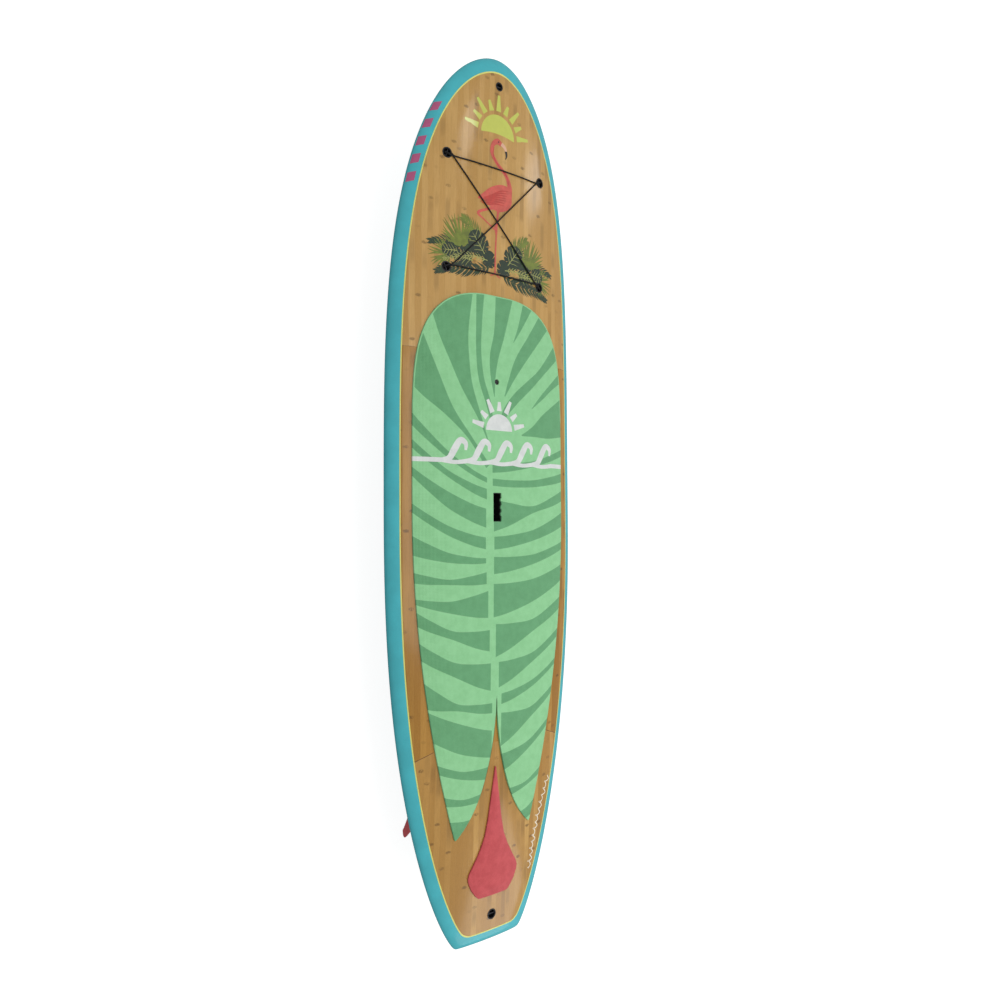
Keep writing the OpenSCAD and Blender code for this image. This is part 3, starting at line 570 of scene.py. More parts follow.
def sheet(names, outlines, holes, slot, low, high, step, bevel=0.0, step_y=None, replaces=(), lines=(),
          pick=None, rise=None):
    """A layer on the deck from height low to high, with a rounded edge of radius bevel.

    names holds a name and a material for each part of its top, and pick(x, y) gives the part there."""
    verts, tris = fill(outlines, holes, lines, step, step_y)
    tops = [t[0] for t in tris]
    part = [pick(t[1], t[2]) if pick else 0 for t in tris]
    owner = {(f[i], f[(i + 1) % len(f)]): k for f, k in zip(tops, part) for i in range(len(f))}
    border = [(a, b) for a, b in owner if (b, a) not in owner]
    after, before = dict(border), {b: a for a, b in border}

    def height(x, y, up=0.0):
        return world(x, y, deck_z(x, y) + high + (rise(x, y) if rise else 0.0) + up)

    def slope(x, y):
        if not rise:
            return deck_normal(x, y)
        sx = height(x + 0.5, y) - height(x - 0.5, y)
        sy = height(x, y + 0.5) - height(x, y - 0.5)
        return sx.cross(sy).normalized()

    outs = {}
    for i in after:
        dx, dy = along(verts[before[i]], verts[after[i]])
        outs[i] = Vector((dy, -dx, 0))
    points, ups = [], []
    for i, (x, y) in enumerate(verts):
        if i in outs:
            x, y = x - outs[i].x * bevel, y - outs[i].y * bevel
        points.append(height(x, y))
        ups.append(slope(x, y))
    # Down from each point of the border: the bevel's middle, its foot and the layer's foot.
    chain = {}
    for i, out in outs.items():
        x, y = verts[i]
        row = [(i, ups[i])]
        half = 0.293 * bevel
        for back, down, normal in ((half, half, (ups[i] + out).normalized()), (0.0, bevel, out)) if bevel else ():
            points.append(height(x - out.x * back, y - out.y * back, -down))
            row.append((len(points) - 1, normal))
        points.append(world(x, y, deck_z(x, y) + low))
        row.append((len(points) - 1, out))
        chain[i] = row
    groups = {}
    for f, k in zip(tops, part):
        faces, normals = groups.setdefault(k, ([], []))
        faces.append(f)
        normals.append([ups[i] for i in f])
    for a, b in border:
        faces, normals = groups[owner[(a, b)]]
        for corners in zip(chain[a], chain[a][1:], chain[b][1:], chain[b]):
            faces.append(tuple(i for i, _ in corners))
            normals.append([n for _, n in corners] if bevel else [outs[a], outs[a], outs[b], outs[b]])
    made = []
    for k, (faces, normals) in sorted(groups.items()):
        used, faces = used_only(faces)
        made.append(make(names[k][0], [points[i] for i in used], faces, names[k][1], slot, replaces=replaces,
                         normals=normals))
    return made


# -------- laminate, veneer and pinline


def eta(i, n):
    return (1 - cos(pi * i / n)) / 2


STATIONS, TRANSOM = 150, 21


def plan_ring(inset):
    """The board's outline drawn in by inset: up the left side, down the right side, across the tail."""
    ys = [inset + (nose_end(inset) - inset) * eta(i, STATIONS) for i in range(STATIONS + 1)]
    left = [(-half_w(y, inset), y) for y in ys]
    right = [(half_w(y, inset), y) for y in reversed(ys[:-1])]
    tail = [(half_w(inset, inset) * (1 - 2 * k / (TRANSOM + 1)), inset) for k in range(1, TRANSOM + 1)]
    return left + right + tail


RING = 2 * STATIONS + 1 + TRANSOM


def bands(rings, closed=False):
    n = len(rings[0])
    faces = []
    for a in range(len(rings) if closed else len(rings) - 1):
        b = (a + 1) % len(rings)
        faces += [(a * n + k, a * n + (k + 1) % n, b * n + (k + 1) % n, b * n + k) for k in range(n)]
    return [p for r in rings for p in r], faces


def ring_on(inset, height, lift=0.0):
    return [world(x, y, height(x, y) + lift) for x, y in plan_ring(inset)]


def hull():
    """The painted laminate from under the pinline, round the rail and across the bottom."""
    deck = [41.0, 38, 33, 28, 23, 18, 14, 10.5, 8, 6, 4.2, 2.8, 1.7, 0.9, 0.35]
    under = [0.3, 0.8, 1.6, 2.8, 4.5, 7, 10, 14, 19, 25, 33, 43, 56, 72, 92, 115]
    rings = [ring_on(41.0, deck_z, -1.2)] + [ring_on(s, deck_z) for s in deck]
    rings.append(ring_on(0.0, lambda x, y: apex_z(y)))
    rings += [ring_on(s, bottom_z) for s in under]
    points, faces = bands(rings)
    # The bottom is closed by strips from side to side, each with points across.
    base = (len(rings) - 1) * RING
    cross = 7
    rows = [[base + i] for i in range(STATIONS + 1)]
    ring = plan_ring(under[-1])
    for i in range(1, STATIONS):
        x, y = ring[i]
        for c in range(1, cross + 1):
            u = x - 2 * x * c / (cross + 1)
            rows[i].append(len(points))
            points.append(world(u, y, bottom_z(u, y)))
        rows[i].append(base + 2 * STATIONS - i)
    for i in range(1, STATIONS - 1):
        for c in range(cross + 1):
            faces.append((rows[i][c], rows[i][c + 1], rows[i + 1][c + 1], rows[i + 1][c]))
    top = rows[STATIONS - 1]
    faces += [(top[c], top[c + 1], base + STATIONS) for c in range(cross + 1)]
    # The tail's row of points meets the first strip.
    low = rows[1]
    tail = [base] + [base + RING - k for k in range(1, TRANSOM + 1)] + [base + 2 * STATIONS]
    i = j = 0
    while i < len(low) - 1 or j < len(tail) - 1:
        if j == len(tail) - 1 or (i < len(low) - 1 and i * (len(tail) - 1) <= j * (len(low) - 1)):
            faces.append((low[i], tail[j], low[i + 1]))
            i += 1
        else:
            faces.append((low[i], tail[j], tail[j + 1]))
            j += 1
    return points, faces


# The bungee's anchors in the order in which the cord visits them, and every plug as (x, y, radius)
ANCHORS = [Vector((x, y)) for y in (2804, 2402) for x in (-214, 214)]
PLUGS = [(0, 3098, 16.0), (0, 97, 19.0)] + [(a.x, a.y, 19.0) for a in ANCHORS]
VENT_Y, VENT_R = 2015, 10
GRIP_X, GRIP_Y = 18, 1560
SIDE_X, SIDE_Y, SIDE_TOE, SIDE_CANT = 246, 490, 2.5, 7
FIN_RIM, SIDE_RIM = (28.4, 277.4), (18.4, 134.4)  # openings for the boxes' rims


def deck_outline(inset, step=16.0):
    """The outline drawn in by inset as evenly spread points, from the left of the tail round the nose."""
    ys = [inset + (nose_end(inset) - inset) * eta(i, 900) for i in range(901)]
    fine = [(-half_w(y, inset), y) for y in ys]
    side = [fine[0]]
    for p in fine[1:-1]:
        if dist(p, side[-1]) >= step:
            side.append(p)
    if dist(side[-1], fine[-1]) < step / 2:
        side.pop()
    tail = [(fine[0][0] * (1 - 2 * k / 18), inset) for k in range(17, 0, -1)]
    return side + [fine[-1]] + [(-x, y) for x, y in reversed(side)] + tail


def open_bottom(obj, x, y, wide, long, turn):
    """Cuts a fin box's opening in the bottom: a rectangle round x, y, turned by so many degrees."""
    c, s = cos(radians(turn)), sin(radians(turn))
    centre = world(x, y, 0.0)
    axes = ((Vector((c, s, 0)), wide / 2000), (Vector((-s, c, 0)), long / 2000))

    def near(face, more):
        d = face.calc_center_median() - centre
        return face.normal.z < -0.3 and all(abs(d.dot(a)) < h + more for a, h in axes)

    bm = bmesh.new()
    bm.from_mesh(obj.data)
    for axis, half in axes:
        for way in (1, -1):
            found = [f for f in bm.faces if near(f, 0.12)]
            geom = set(found)
            for f in found:
                geom.update(f.edges)
                geom.update(f.verts)
            bmesh.ops.bisect_plane(bm, geom=list(geom), dist=0.000001, plane_co=centre + axis * half * way,
                                   plane_no=axis)
    bmesh.ops.delete(bm, geom=[f for f in bm.faces if near(f, 0.0)], context="FACES")
    bm.to_mesh(obj.data)
    bm.free()


laminate = solid("laminate", hull(), "teal_laminate", replaces=("bottom_shell",), sharp=50)
open_bottom(laminate, 0, FIN_Y, *FIN_RIM, 0)
for side in (-1, 1):
    open_bottom(laminate, side * SIDE_X, SIDE_Y, *SIDE_RIM, side * SIDE_TOE)
TAPE = [(38.9, 0.0), (39.2, 0.5), (39.8, 0.7), (41.9, 0.7), (42.5, 0.5), (42.8, 0.0)]  # how far in, and how high
solid("pinline", bands([ring_on(inset, deck_z, up) for inset, up in TAPE], closed=True), "pinline",
      replaces=("pinline_tape",), sharp=70)

plug_holes = [circle(x, y, r - 0.4, 36) for x, y, r in PLUGS]
vent_hole = circle(0, VENT_Y, VENT_R, 36)
grip_hole = rounded([(x, GRIP_Y + y) for x, y in ((22, -56), (22, 56), (-22, 56), (-22, -56))], [4] * 4, 3)
SCARF_Y, FRONT_JOINT = 716, 2108.0  # where the veneer's middle length ends


def scarf(x):
    """Where the veneer's middle length meets its tail length."""
    return SCARF_Y - 0.4 * max(0.0, abs(x) - 260)


tail_part = [(x, scarf(x)) for x in range(-400, 401, 25)] + [(410, -60), (-410, -60)]
front_part = [(x, FRONT_JOINT) for x in range(-440, 441, 40)] + [(450, 3300), (-450, 3300)]
sheet([("veneer_tail", wood_tail), ("veneer_middle", LOOKS["bamboo_veneer"]), ("veneer_front", wood_front)],
      [deck_outline(41.0)], plug_holes + [vent_hole, grip_hole], "bamboo_veneer", -3.0, 0.0, 22.0, step_y=26.0,
      replaces=("deck_panel",), lines=[tail_part, front_part],
      pick=lambda x, y: 0 if y < scarf(x) else 2 if y > FRONT_JOINT else 1)
seams = [ribbon([(x0, scarf(x0), 0.9), (x1, scarf(x1), 0.9)], 6)
         for x0, x1 in ((-370, -320), (-320, -255), (255, 320), (320, 370))]
seams += [ribbon([(x0, FRONT_JOINT, 0.45), (x1, FRONT_JOINT, 0.45)], 4) for x0, x1 in ((-372, -330), (330, 372))]
decal("scarf_lines", seams, seam, 0.12, 8.0, cut=lambda x, y: abs(x) < half_w(y, 42.0))

# -------- deck pad


PAD_HALF, PAD_REAR, PAD_ROUND, PAD_FRONT = 340, 397, 1750, 2330  # half width; y of its tails, bend and front
NOTCH_Y = 880


def pad_half(y):
    if y > PAD_ROUND:
        return PAD_HALF * max(0.0, 1 - ((y - PAD_ROUND) / (PAD_FRONT - PAD_ROUND)) ** 4) ** 0.36
    return PAD_HALF - 172 * (max(0.0, 1550 - y) / 1153) ** 2


def notch_half(y):
    u = max(0.0, (NOTCH_Y - y) / (NOTCH_Y - PAD_REAR))
    return 119 * u**1.9 + 44 * u**7


def pad_outline():
    """From the notch's tip down its left side, round the left tail, up to the front and back down."""
    front = [(-pad_half(y), y) for y in [PAD_REAR + (PAD_ROUND - PAD_REAR) * k / 84 for k in range(85)]]
    for k in range(1, 401):
        y = PAD_ROUND + (PAD_FRONT - PAD_ROUND - 0.5) * sin(pi / 2 * k / 400)
        if dist((-pad_half(y), y), front[-1]) > 14:
            front.append((-pad_half(y), y))
    notch = [(-notch_half(y), y) for y in [NOTCH_Y - (NOTCH_Y - PAD_REAR) * (k / 36) for k in range(37)]]
    left = rounded(notch + front, [7 if i in (36, 37) else 0 for i in range(len(notch + front))])
    return left + [(-x, y) for x, y in reversed(left[1:])]


pad_loop = pad_outline()
pad_grip = [(GRIP_X, GRIP_Y + 52), (-GRIP_X, GRIP_Y + 52), (-GRIP_X, GRIP_Y - 52), (GRIP_X, GRIP_Y - 52)]
for k in (-1, 0, 1):
    pad_grip += [(GRIP_X + 5 + 9 * cos(radians(a)), GRIP_Y + 25 * k + 9 * sin(radians(a)))
                 for a in range(240, 119, -12)]


def rib_x(y):
    """Middle line of the frond's rib on the pad."""
    return -34 * unit((y - 880) / 400) ** 0.7


def rib_half(y):
    return 12 + 7 * cos((y - 900) / 170) ** 2


def gap(side, y0, w0, w1, w2, rise, sag=15):
    """A dark gap between two leaflets: y and width at the rib, width half way and at the pad's edge."""
    x0 = side * max(21, notch_half(y0 + w0 / 2) - 24) if y0 < NOTCH_Y else rib_x(y0) + side * rib_half(y0)
    x1 = side * (pad_half(y0 + rise) + 22)
    widths = ((0, w0), (0.2, 0.62 * w0 + 0.38 * w1), (0.5, w1), (0.78, 0.45 * w1 + 0.55 * w2), (1, w2))

    def edge(up):
        return spline([(x0 + (x1 - x0) * t,
                        y0 + rise * (t + 0.25 * t * (t - 1)) - sag * sin(pi * t) + up * w)
                       for t, w in widths], 6)

    return edge(0.5) + edge(-0.5)[::-1]


def frond():
    """The gaps of the pale frond printed on the pad; its rib and leaflets are all that is left between them."""
    left = [(418, 84, 84, 100, -2, 0), (534, 28, 22, 32, 12), (612, 44, 28, 30, 52), (712, 96, 104, 92, 104, 8),
            (840, 36, 24, 94, 80), (952, 98, 50, 54, 126), (1082, 76, 30, 48, 104), (1212, 96, 42, 14, 28),
            (1306, 42, 18, 38, 14), (1368, 18, 34, 70, 66), (1430, 42, 34, 30, 138), (1520, 68, 58, 26, 176),
            (1606, 38, 24, 30, 186), (1656, 18, 24, 46, 222)]
    right = [(414, 44, 40, 50, 46, 4), (524, 30, 16, 26, 66), (636, 66, 30, 20, 136), (758, 120, 38, 20, 132),
             (868, 38, 24, 18, 124), (956, 92, 34, 28, 144), (1080, 118, 46, 42, 130), (1224, 120, 84, 56, 98),
             (1350, 62, 36, 28, 74), (1430, 46, 40, 56, 96), (1530, 116, 26, 42, 86), (1650, 26, 26, 34, 34),
             (1702, 36, 22, 26, 82)]
    shapes = [gap(-1, *g) for g in left] + [gap(1, *g) for g in right]
    fan = [
        ((-42, 1706, 10), (-120, 1806, 8), (-202, 1893, 20), (-280, 1985, 50), (-344, 2086, 66), (-402, 2200, 74)),
        ((-42, 1800, 2), (-80, 1885, 9), (-132, 1990, 24), (-164, 2090, 42), (-188, 2190, 64), (-202, 2330, 96)),
        ((-22, 1842, 2), (-36, 1925, 11), (-70, 2020, 12), (-82, 2120, 11), (-80, 2230, 13), (-74, 2350, 18)),
        ((-12, 1960, 1), (-18, 2040, 12), (-12, 2110, 20), (12, 2200, 25), (36, 2350, 42)),
        ((78, 2170, 1), (112, 2234, 10), (156, 2334, 27)),
        ((36, 1966, 2), (66, 2028, 11), (108, 2102, 22), (180, 2196, 27), (262, 2304, 34)),
        ((18, 1862, 3), (40, 1908, 14), (93, 1966, 18), (158, 2020, 17), (226, 2080, 15), (336, 2194, 28)),
        ((170, 1932, 1), (224, 1980, 8), (278, 2026, 11), (348, 2078, 18)),
        ((118, 1828, 2), (180, 1846, 20), (250, 1872, 48), (362, 1916, 74)),
    ]
    return shapes + [ribbon(f, 8) for f in fan]


leaf_loops = [Loop(s) for s in frond()]
# The pad's bevelled rim in front stays pale.
RIM, PAD_MIDDLE, PAD_REACH = 4.2, 1364, 966
edge_loop = Loop([(x * (1 - RIM / PAD_HALF), PAD_MIDDLE + (y - PAD_MIDDLE) * (1 - RIM / PAD_REACH))
                  for x, y in pad_loop])


def half_sun(x, y, r, inner, outer, n, w0, w1):
    """A plain half disc with rays over it."""
    shapes = [[(x + r * cos(radians(a)), y + r * sin(radians(a))) for a in range(0, 181, 5)]]
    for k in range(n):
        far = outer if k % 2 == 0 else 0.86 * outer
        shapes.append(turned(x, y, pi * (k + 0.5) / n, [(inner, w0), (inner, -w0), (far, -w1), (far, w1)]))
    return shapes


WAVE_Y, WAVE_X, WAVE_STEP = 1722, -232, 101


def waves():
    """White print across the pad: a plain line to both edges and a row of wave crests."""
    shapes = [ribbon([(a, WAVE_Y, 8), (b, WAVE_Y, 8)], 4) for a, b in ((-350, WAVE_X), (272, 350))]
    crest = [(0, 0, 8), (28, 8, 11), (50, 42, 13), (72, 72, 11), (94, 62, 9), (94, 38, 5)]
    foot = [(0, 0, 8), (50, -6, 7), (104, 0, 8)]
    for k in range(5):
        for knots, n in ((crest, 6), (foot, 4)):
            shapes.append(ribbon([(WAVE_X + WAVE_STEP * k + x, WAVE_Y + y, w) for x, y, w in knots], n))
    return shapes


white_loops = [Loop(s) for s in waves() + half_sun(10, 1838, 60, 72, 122, 7, 11, 6)]


def pad_part(x, y):
    if in_any(white_loops, x, y):
        return 2
    return 0 if in_any(leaf_loops, x, y) and (y < 1900 or edge_loop.holds(x, y)) else 1


pads = sheet([("deck_pad_ground", LOOKS["green_foam"]), ("deck_pad_frond", green_light),
              ("deck_pad_print", foam_white)], [pad_loop], [pad_grip, vent_hole], "green_foam", PAD_GAP,
             PAD_GAP + PAD_T, 13.0, bevel=1.4, step_y=15.0, replaces=("deck_pad",),
             lines=[k.p for k in leaf_loops + white_loops + [edge_loop]], pick=pad_part)

# -------- tail pad

ARCH = [(169, 63), (180, 76), (205, 95), (235, 108), (250, 110), (265, 106), (298, 86), (340, 62), (385, 43),
        (440, 31), (491, 23), (535, 16), (580, 9), (628, 2)]


def arch_half(y):
    for (y0, h0), (y1, h1) in zip(ARCH, ARCH[1:]):
        if y <= y1:
            return h0 + (h1 - h0) * unit((y - y0) / (y1 - y0))
    return ARCH[-1][1]


def arch_rise(x, y):
    share = unit(abs(x) / max(arch_half(y), 0.1))
    return 9 * cos(pi / 2 * share) ** 0.8 * unit(arch_half(y) / 60) * unit((y - 160) / 40)


arch_left = []
for (y0, h0), (y1, h1) in zip(ARCH, ARCH[1:]):
    parts = max(1, int(hypot(h1 - h0, y1 - y0) / 9))
    arch_left += [(-h0 - (h1 - h0) * k / parts, y0 + (y1 - y0) * k / parts) for k in range(parts)]
arch_left.append((-ARCH[-1][1], ARCH[-1][0]))
arch_loop = arch_left + [(-x, y) for x, y in reversed(arch_left)] + [(63 - 9 * k, 169) for k in range(1, 14)]
pads += sheet([("tail_pad_cover", LOOKS["coral_foam"])], [arch_loop], [], "coral_foam", PAD_GAP,
              PAD_GAP + PAD_T - 0.1, 9.0, bevel=1.2, replaces=("tail_pad",), rise=arch_rise)

# -------- bungee cord

# The hook round a bar: distance outwards, share of the side step, height over the deck
HOOK = [(-30, 1, 3.6), (-16, 1, 4.4), (-6, 0.9, 4), (3, 0.8, 2), (8.4, 0.6, -2.6), (9, 0.3, -8), (5.6, 0, -12.8),
        (0, -0.3, -14.4), (-5.6, -0.5, -12), (-9, -0.8, -5.8), (-11, -1, 2), (-15.8, -1, 5), (-30, -1, 3.6)]
SIDE_STEP = 3.4
# Steps along a run from hook to hook and its height there; one crossed run lies over the other.
RUN = [(t, 3.3) for t in (0.14, 0.28, 0.4, 0.5, 0.6, 0.72, 0.86)]
OVER_RUN = [(0.14, 3.3), (0.28, 3.6), (0.4, 6), (0.5, 8.9), (0.6, 6), (0.72, 3.6), (0.86, 3.3)]


def toward(a, b):
    return (b - a).normalized()


def outward(k):
    return -(toward(ANCHORS[k], ANCHORS[(k + 1) % 4]) + toward(ANCHORS[k], ANCHORS[(k + 3) % 4])).normalized()


def hook_end(k, j):
    u = outward(k)
    bar = Vector((-u.y, u.x))
    side = SIDE_STEP if toward(ANCHORS[k], ANCHORS[(k + 3) % 4]).dot(bar) > 0 else -SIDE_STEP
    return ANCHORS[k] + HOOK[j][0] * u + HOOK[j][1] * side * bar


route = []
for k in range(4):
    a, b = hook_end(k, len(HOOK) - 1), hook_end((k + 1) % 4, 0)
    marks = [(hook_end(k, j), h[2]) for j, h in enumerate(HOOK)]
    marks += [(a + (b - a) * t, up) for t, up in (OVER_RUN if k == 1 else RUN)]
    route += [(p.x, p.y, deck_z(p.x, p.y) + up) for p, up in marks]


def tube(path, radius, sides):
    """Rings round a closed path of points in mm, turned as little as possible from one to the next."""
    n = len(path)
    path = [Vector(p) for p in path]
    up, rings = None, []
    for i in range(n):
        t = (path[(i + 1) % n] - path[i - 1]).normalized()
        up = (up - t * up.dot(t)).normalized() if up else t.orthogonal().normalized()
        rings.append((path[i], t, up.copy()))
    _, t0, u0 = rings[0]
    last = (up - t0 * up.dot(t0)).normalized()
    twist = atan2(last.cross(u0).dot(t0), last.dot(u0))
    out = []
    for i, (c, t, u) in enumerate(rings):
        v = t.cross(u)
        angles = [2 * pi * s / sides + twist * i / n for s in range(sides)]
        out.append([world(*(c + radius * (cos(a) * u + sin(a) * v))) for a in angles])
    return out


CORD_R = 2.5
solid("bungee", bands(tube(spline(route, 4, closed=True), CORD_R, 14), closed=True), "black_cord",
      replaces=("bungee_cord",), sharp=0)

# -------- fins


def foil(c):
    return 5 * (0.2969 * sqrt(c) - 0.126 * c - 0.3516 * c**2 + 0.2843 * c**3 - 0.1036 * c**4)


def blade(front, rear, tip_front, tip_rear, depth, root_t, tip_t, root_up, point=0.35, sweep=0.8):
    """Rings of a fin blade from its root to its tip, in the fin's own frame."""
    chord = [eta(j, 22) for j in range(23)]

    def ring(y0, y1, z, t):
        return ([(-foil(c) * t - 0.12, y0 + (y1 - y0) * c, z) for c in chord]
                + [(foil(c) * t + 0.12, y0 + (y1 - y0) * c, z) for c in reversed(chord)])

    rings = [ring(front, rear, root_up, root_t)]
    mid = tip_front * point + tip_rear * (1 - point)
    for k in range(41):
        d = sin(pi / 2 * k / 40)
        lead = front + (tip_front - front) * d**1.75
        trail = rear + (tip_rear - rear) * d**sweep + 0.13 * depth * sin(pi * d) * (1 - 0.4 * d)
        shut = max(sqrt(max(0.0, 1 - d**7)), 0.09)
        rings.append(ring(mid + (lead - mid) * shut, mid + (trail - mid) * shut, -depth * d,
                          (root_t + (tip_t - root_t) * d) * shut))
    return rings


def capped(rings, thin):
    """Bands closed at both ends, by a row of faces across a thin blade or else by one face."""
    points, faces = bands(rings)
    n = len(rings[0])
    for o in (0, (len(rings) - 1) * n):
        faces += ([(o + i, o + i + 1, o + n - 2 - i, o + n - 1 - i) for i in range(n // 2 - 1)] if thin
                  else [tuple(range(o, o + n))])
    return points, faces


def block(x, y0, y1, z0, z1, r):
    """A block with its edges rounded, as rings from bottom to top."""
    loop = [(x, y1), (-x, y1), (-x, y0), (x, y0)]
    rings = []
    for k in range(4):
        a = pi / 2 * k / 3
        d = r * (1 - sin(a))
        ring = rounded([(px - copysign(d, px), py + (d if py == y0 else -d)) for px, py in loop], [r] * 4, 3)
        rings.append([(px, py, z0 + r * (1 - cos(a))) for px, py in ring])
    return rings + [[(px, py, z0 + z1 - pz) for px, py, pz in ring] for ring in reversed(rings)]


def centre_frame(p):
    c, s = cos(FIN_TILT), sin(FIN_TILT)
    x, y, z = p
    return world(x, FIN_Y + y * c - z * s, bottom_z(0, FIN_Y) + y * s + z * c)


def side_frame(side):
    x0 = side * SIDE_X
    slope = atan((bottom_z(x0, SIDE_Y + 1) - bottom_z(x0, SIDE_Y - 1)) / 2)
    turn_by = (Matrix.Rotation(radians(side * SIDE_TOE), 3, "Z") @ Matrix.Rotation(slope, 3, "X")
               @ Matrix.Rotation(radians(-side * SIDE_CANT), 3, "Y"))
    base = Vector((x0, SIDE_Y, bottom_z(x0, SIDE_Y)))
    return lambda p: world(*(base + turn_by @ Vector(p)))


def cut_away(obj, cutter):
    """Takes the cutter's form out of obj and removes it."""
    mod = obj.modifiers.new("cut", "BOOLEAN")
    mod.operation, mod.object, mod.solver = "DIFFERENCE", cutter, "EXACT"
    with bpy.context.temp_override(object=obj, active_object=obj):
        bpy.ops.object.modifier_apply(modifier=mod.name)
    bpy.data.objects.remove(cutter)
    obj.data.set_sharp_from_angle(angle=radians(30))


def rod(loop, axis, lo, hi):
    """A cutter along x or z through a circle in the other two directions of the centre fin's frame."""
    rings = [[centre_frame((v, a, b) if axis == "x" else (a, b, v)) for a, b in loop] for v in (lo, hi)]
    points, faces = clean(capped(rings, False))
    mesh = bpy.data.meshes.new("cutter")
    mesh.from_pydata(points, [], faces)
    obj = bpy.data.objects.new("cutter", mesh)
    scene.collection.objects.link(obj)
    return obj


def fin_piece(name, rings, frame_of, node, body="board", thin=False):
    form = capped([[frame_of(p) for p in ring] for ring in rings], thin)
    return solid(name, form, "coral_fin", body, (node,), 60 if thin else 35)


CENTRE = (centre_frame, "centre_fin", "centre_fin")
fin_piece("centre_fin_blade", blade(FIN_FRONT, FIN_REAR, FIN_TIP_FRONT, FIN_TIP_REAR, FIN_DEPTH, 9.2, 4, 6), *CENTRE,
          thin=True)
tab = fin_piece("centre_fin_tab", block(4.6, FIN_REAR, FIN_FRONT, 0.6, 18.6, 1.0), *CENTRE)
cut_away(tab, rod(circle(-85, 11.6, 2.5, 32), "x", -10, 10))
ear = fin_piece("centre_fin_ear", block(4.6, 69, 94, 4.2, 8.7, 0.8), *CENTRE)
cut_away(ear, rod(circle(0, 83, 2.25, 32), "z", 0, 12))
SIDE_HALF, SIDE_DEPTH = 53.9, 118
for side, word in ((-1, "left"), (1, "right")):
    place = (side_frame(side), "side_fin_" + word)
    fin_piece("side_fin_blade_" + word, blade(SIDE_HALF, -SIDE_HALF, -76, -128, SIDE_DEPTH, 7.0, 3, 5, 0.92, 1.6),
              *place, thin=True)
    fin_piece("side_fin_tab_" + word, block(3.5, -SIDE_HALF, SIDE_HALF, 0.5, 15.4, 0.8), *place)

# -------- printed artwork on the veneer

# A plain half sun with rays near the nose
decal("sun_print", half_sun(0, 2918, 76, 90, 148, 9, 11, 5), prints["yellow"], 0.25, 9.0)

rng = random.Random(5)


def palm_fan(x, y, r, a0, a1, n, w):
    """Narrow blades that spread from one point."""
    out = []
    for k in range(n):
        a = radians(a0 + (a1 - a0) * (k + rng.uniform(-0.2, 0.2)) / (n - 1))
        reach = r * (0.72 + 0.28 * sin(pi * (k + 0.5) / n)) * rng.uniform(0.9, 1.06)
        bend = rng.uniform(-0.05, 0.05) * reach
        out.append(ribbon(turned(x, y, a, [(0.06 * reach, 0, 0.6 * w), (0.4 * reach, bend, w),
                                           (0.75 * reach, bend, 0.65 * w), (reach, 0, 0.3)]), 4))
    return out


def feather(knots, length, gap, w):
    """A rib with narrow leaflets on both sides."""
    line = spline(knots, 16)
    run = [0.0]
    for a, b in zip(line, line[1:]):
        run.append(run[-1] + dist(a, b))
    out = [ribbon([(x, y, 1.6 - 1.2 * k / len(line)) for k, (x, y) in enumerate(line[::4])], 3)]
    pos = gap
    while pos < run[-1]:
        i = next(k for k, v in enumerate(run) if v >= pos)
        (ax, ay), (bx, by) = line[i - 1], line[i]
        base = atan2(by - ay, bx - ax)
        share = pos / run[-1]
        size = length * (0.35 + 0.65 * sin(pi * min(1, 0.12 + 0.86 * share))) * rng.uniform(0.88, 1.08)
        for side in (-1, 1):
            a = base + side * radians(48 - 18 * share + rng.uniform(-4, 4))
            leaflet = [(0, 0, 0.5 * w), (0.45 * size, 0, w), (size, -0.08 * size * side, 0.3)]
            out.append(ribbon(turned(bx, by, a, leaflet), 3))
        pos += gap
    return out


def broad_leaf(x, y, size, angle):
    """A heart-shaped leaf with slits in from its edge."""
    loop = []
    for k in range(144):
        t = 2 * pi * k / 144
        r = size * (0.72 + 0.28 * cos(t)) * (1 - 0.32 * max(0.0, cos(t - pi)) ** 6)
        if 0.35 < abs(remainder(t, 2 * pi)) < 2.6:
            r *= 1 - 0.5 * max(0.0, cos(10 * t + 0.6)) ** 10
        loop.append((r * cos(t), 0.86 * r * sin(t)))
    return turned(x, y, radians(angle), loop)


def leaf_veins(x, y, size, angle):
    """A leaf's rib and side veins; their places are shares of its size."""
    veins = [([(-0.4, 0, 1.2), (0.3, 0, 1.4), (0.92, 0, 0.4)], 5)]
    for k in range(4):
        for side in (-1, 1):
            s = 0.27 * k - 0.2
            veins.append(([(s, 0, 1.0), (s + 0.2, side * 0.28, 0.8), (s + 0.3, side * 0.5, 0.3)], 4))
    return [ribbon(turned(x, y, radians(angle), [(u * size, v * size, w) for u, v, w in knots]), n)
            for knots, n in veins]


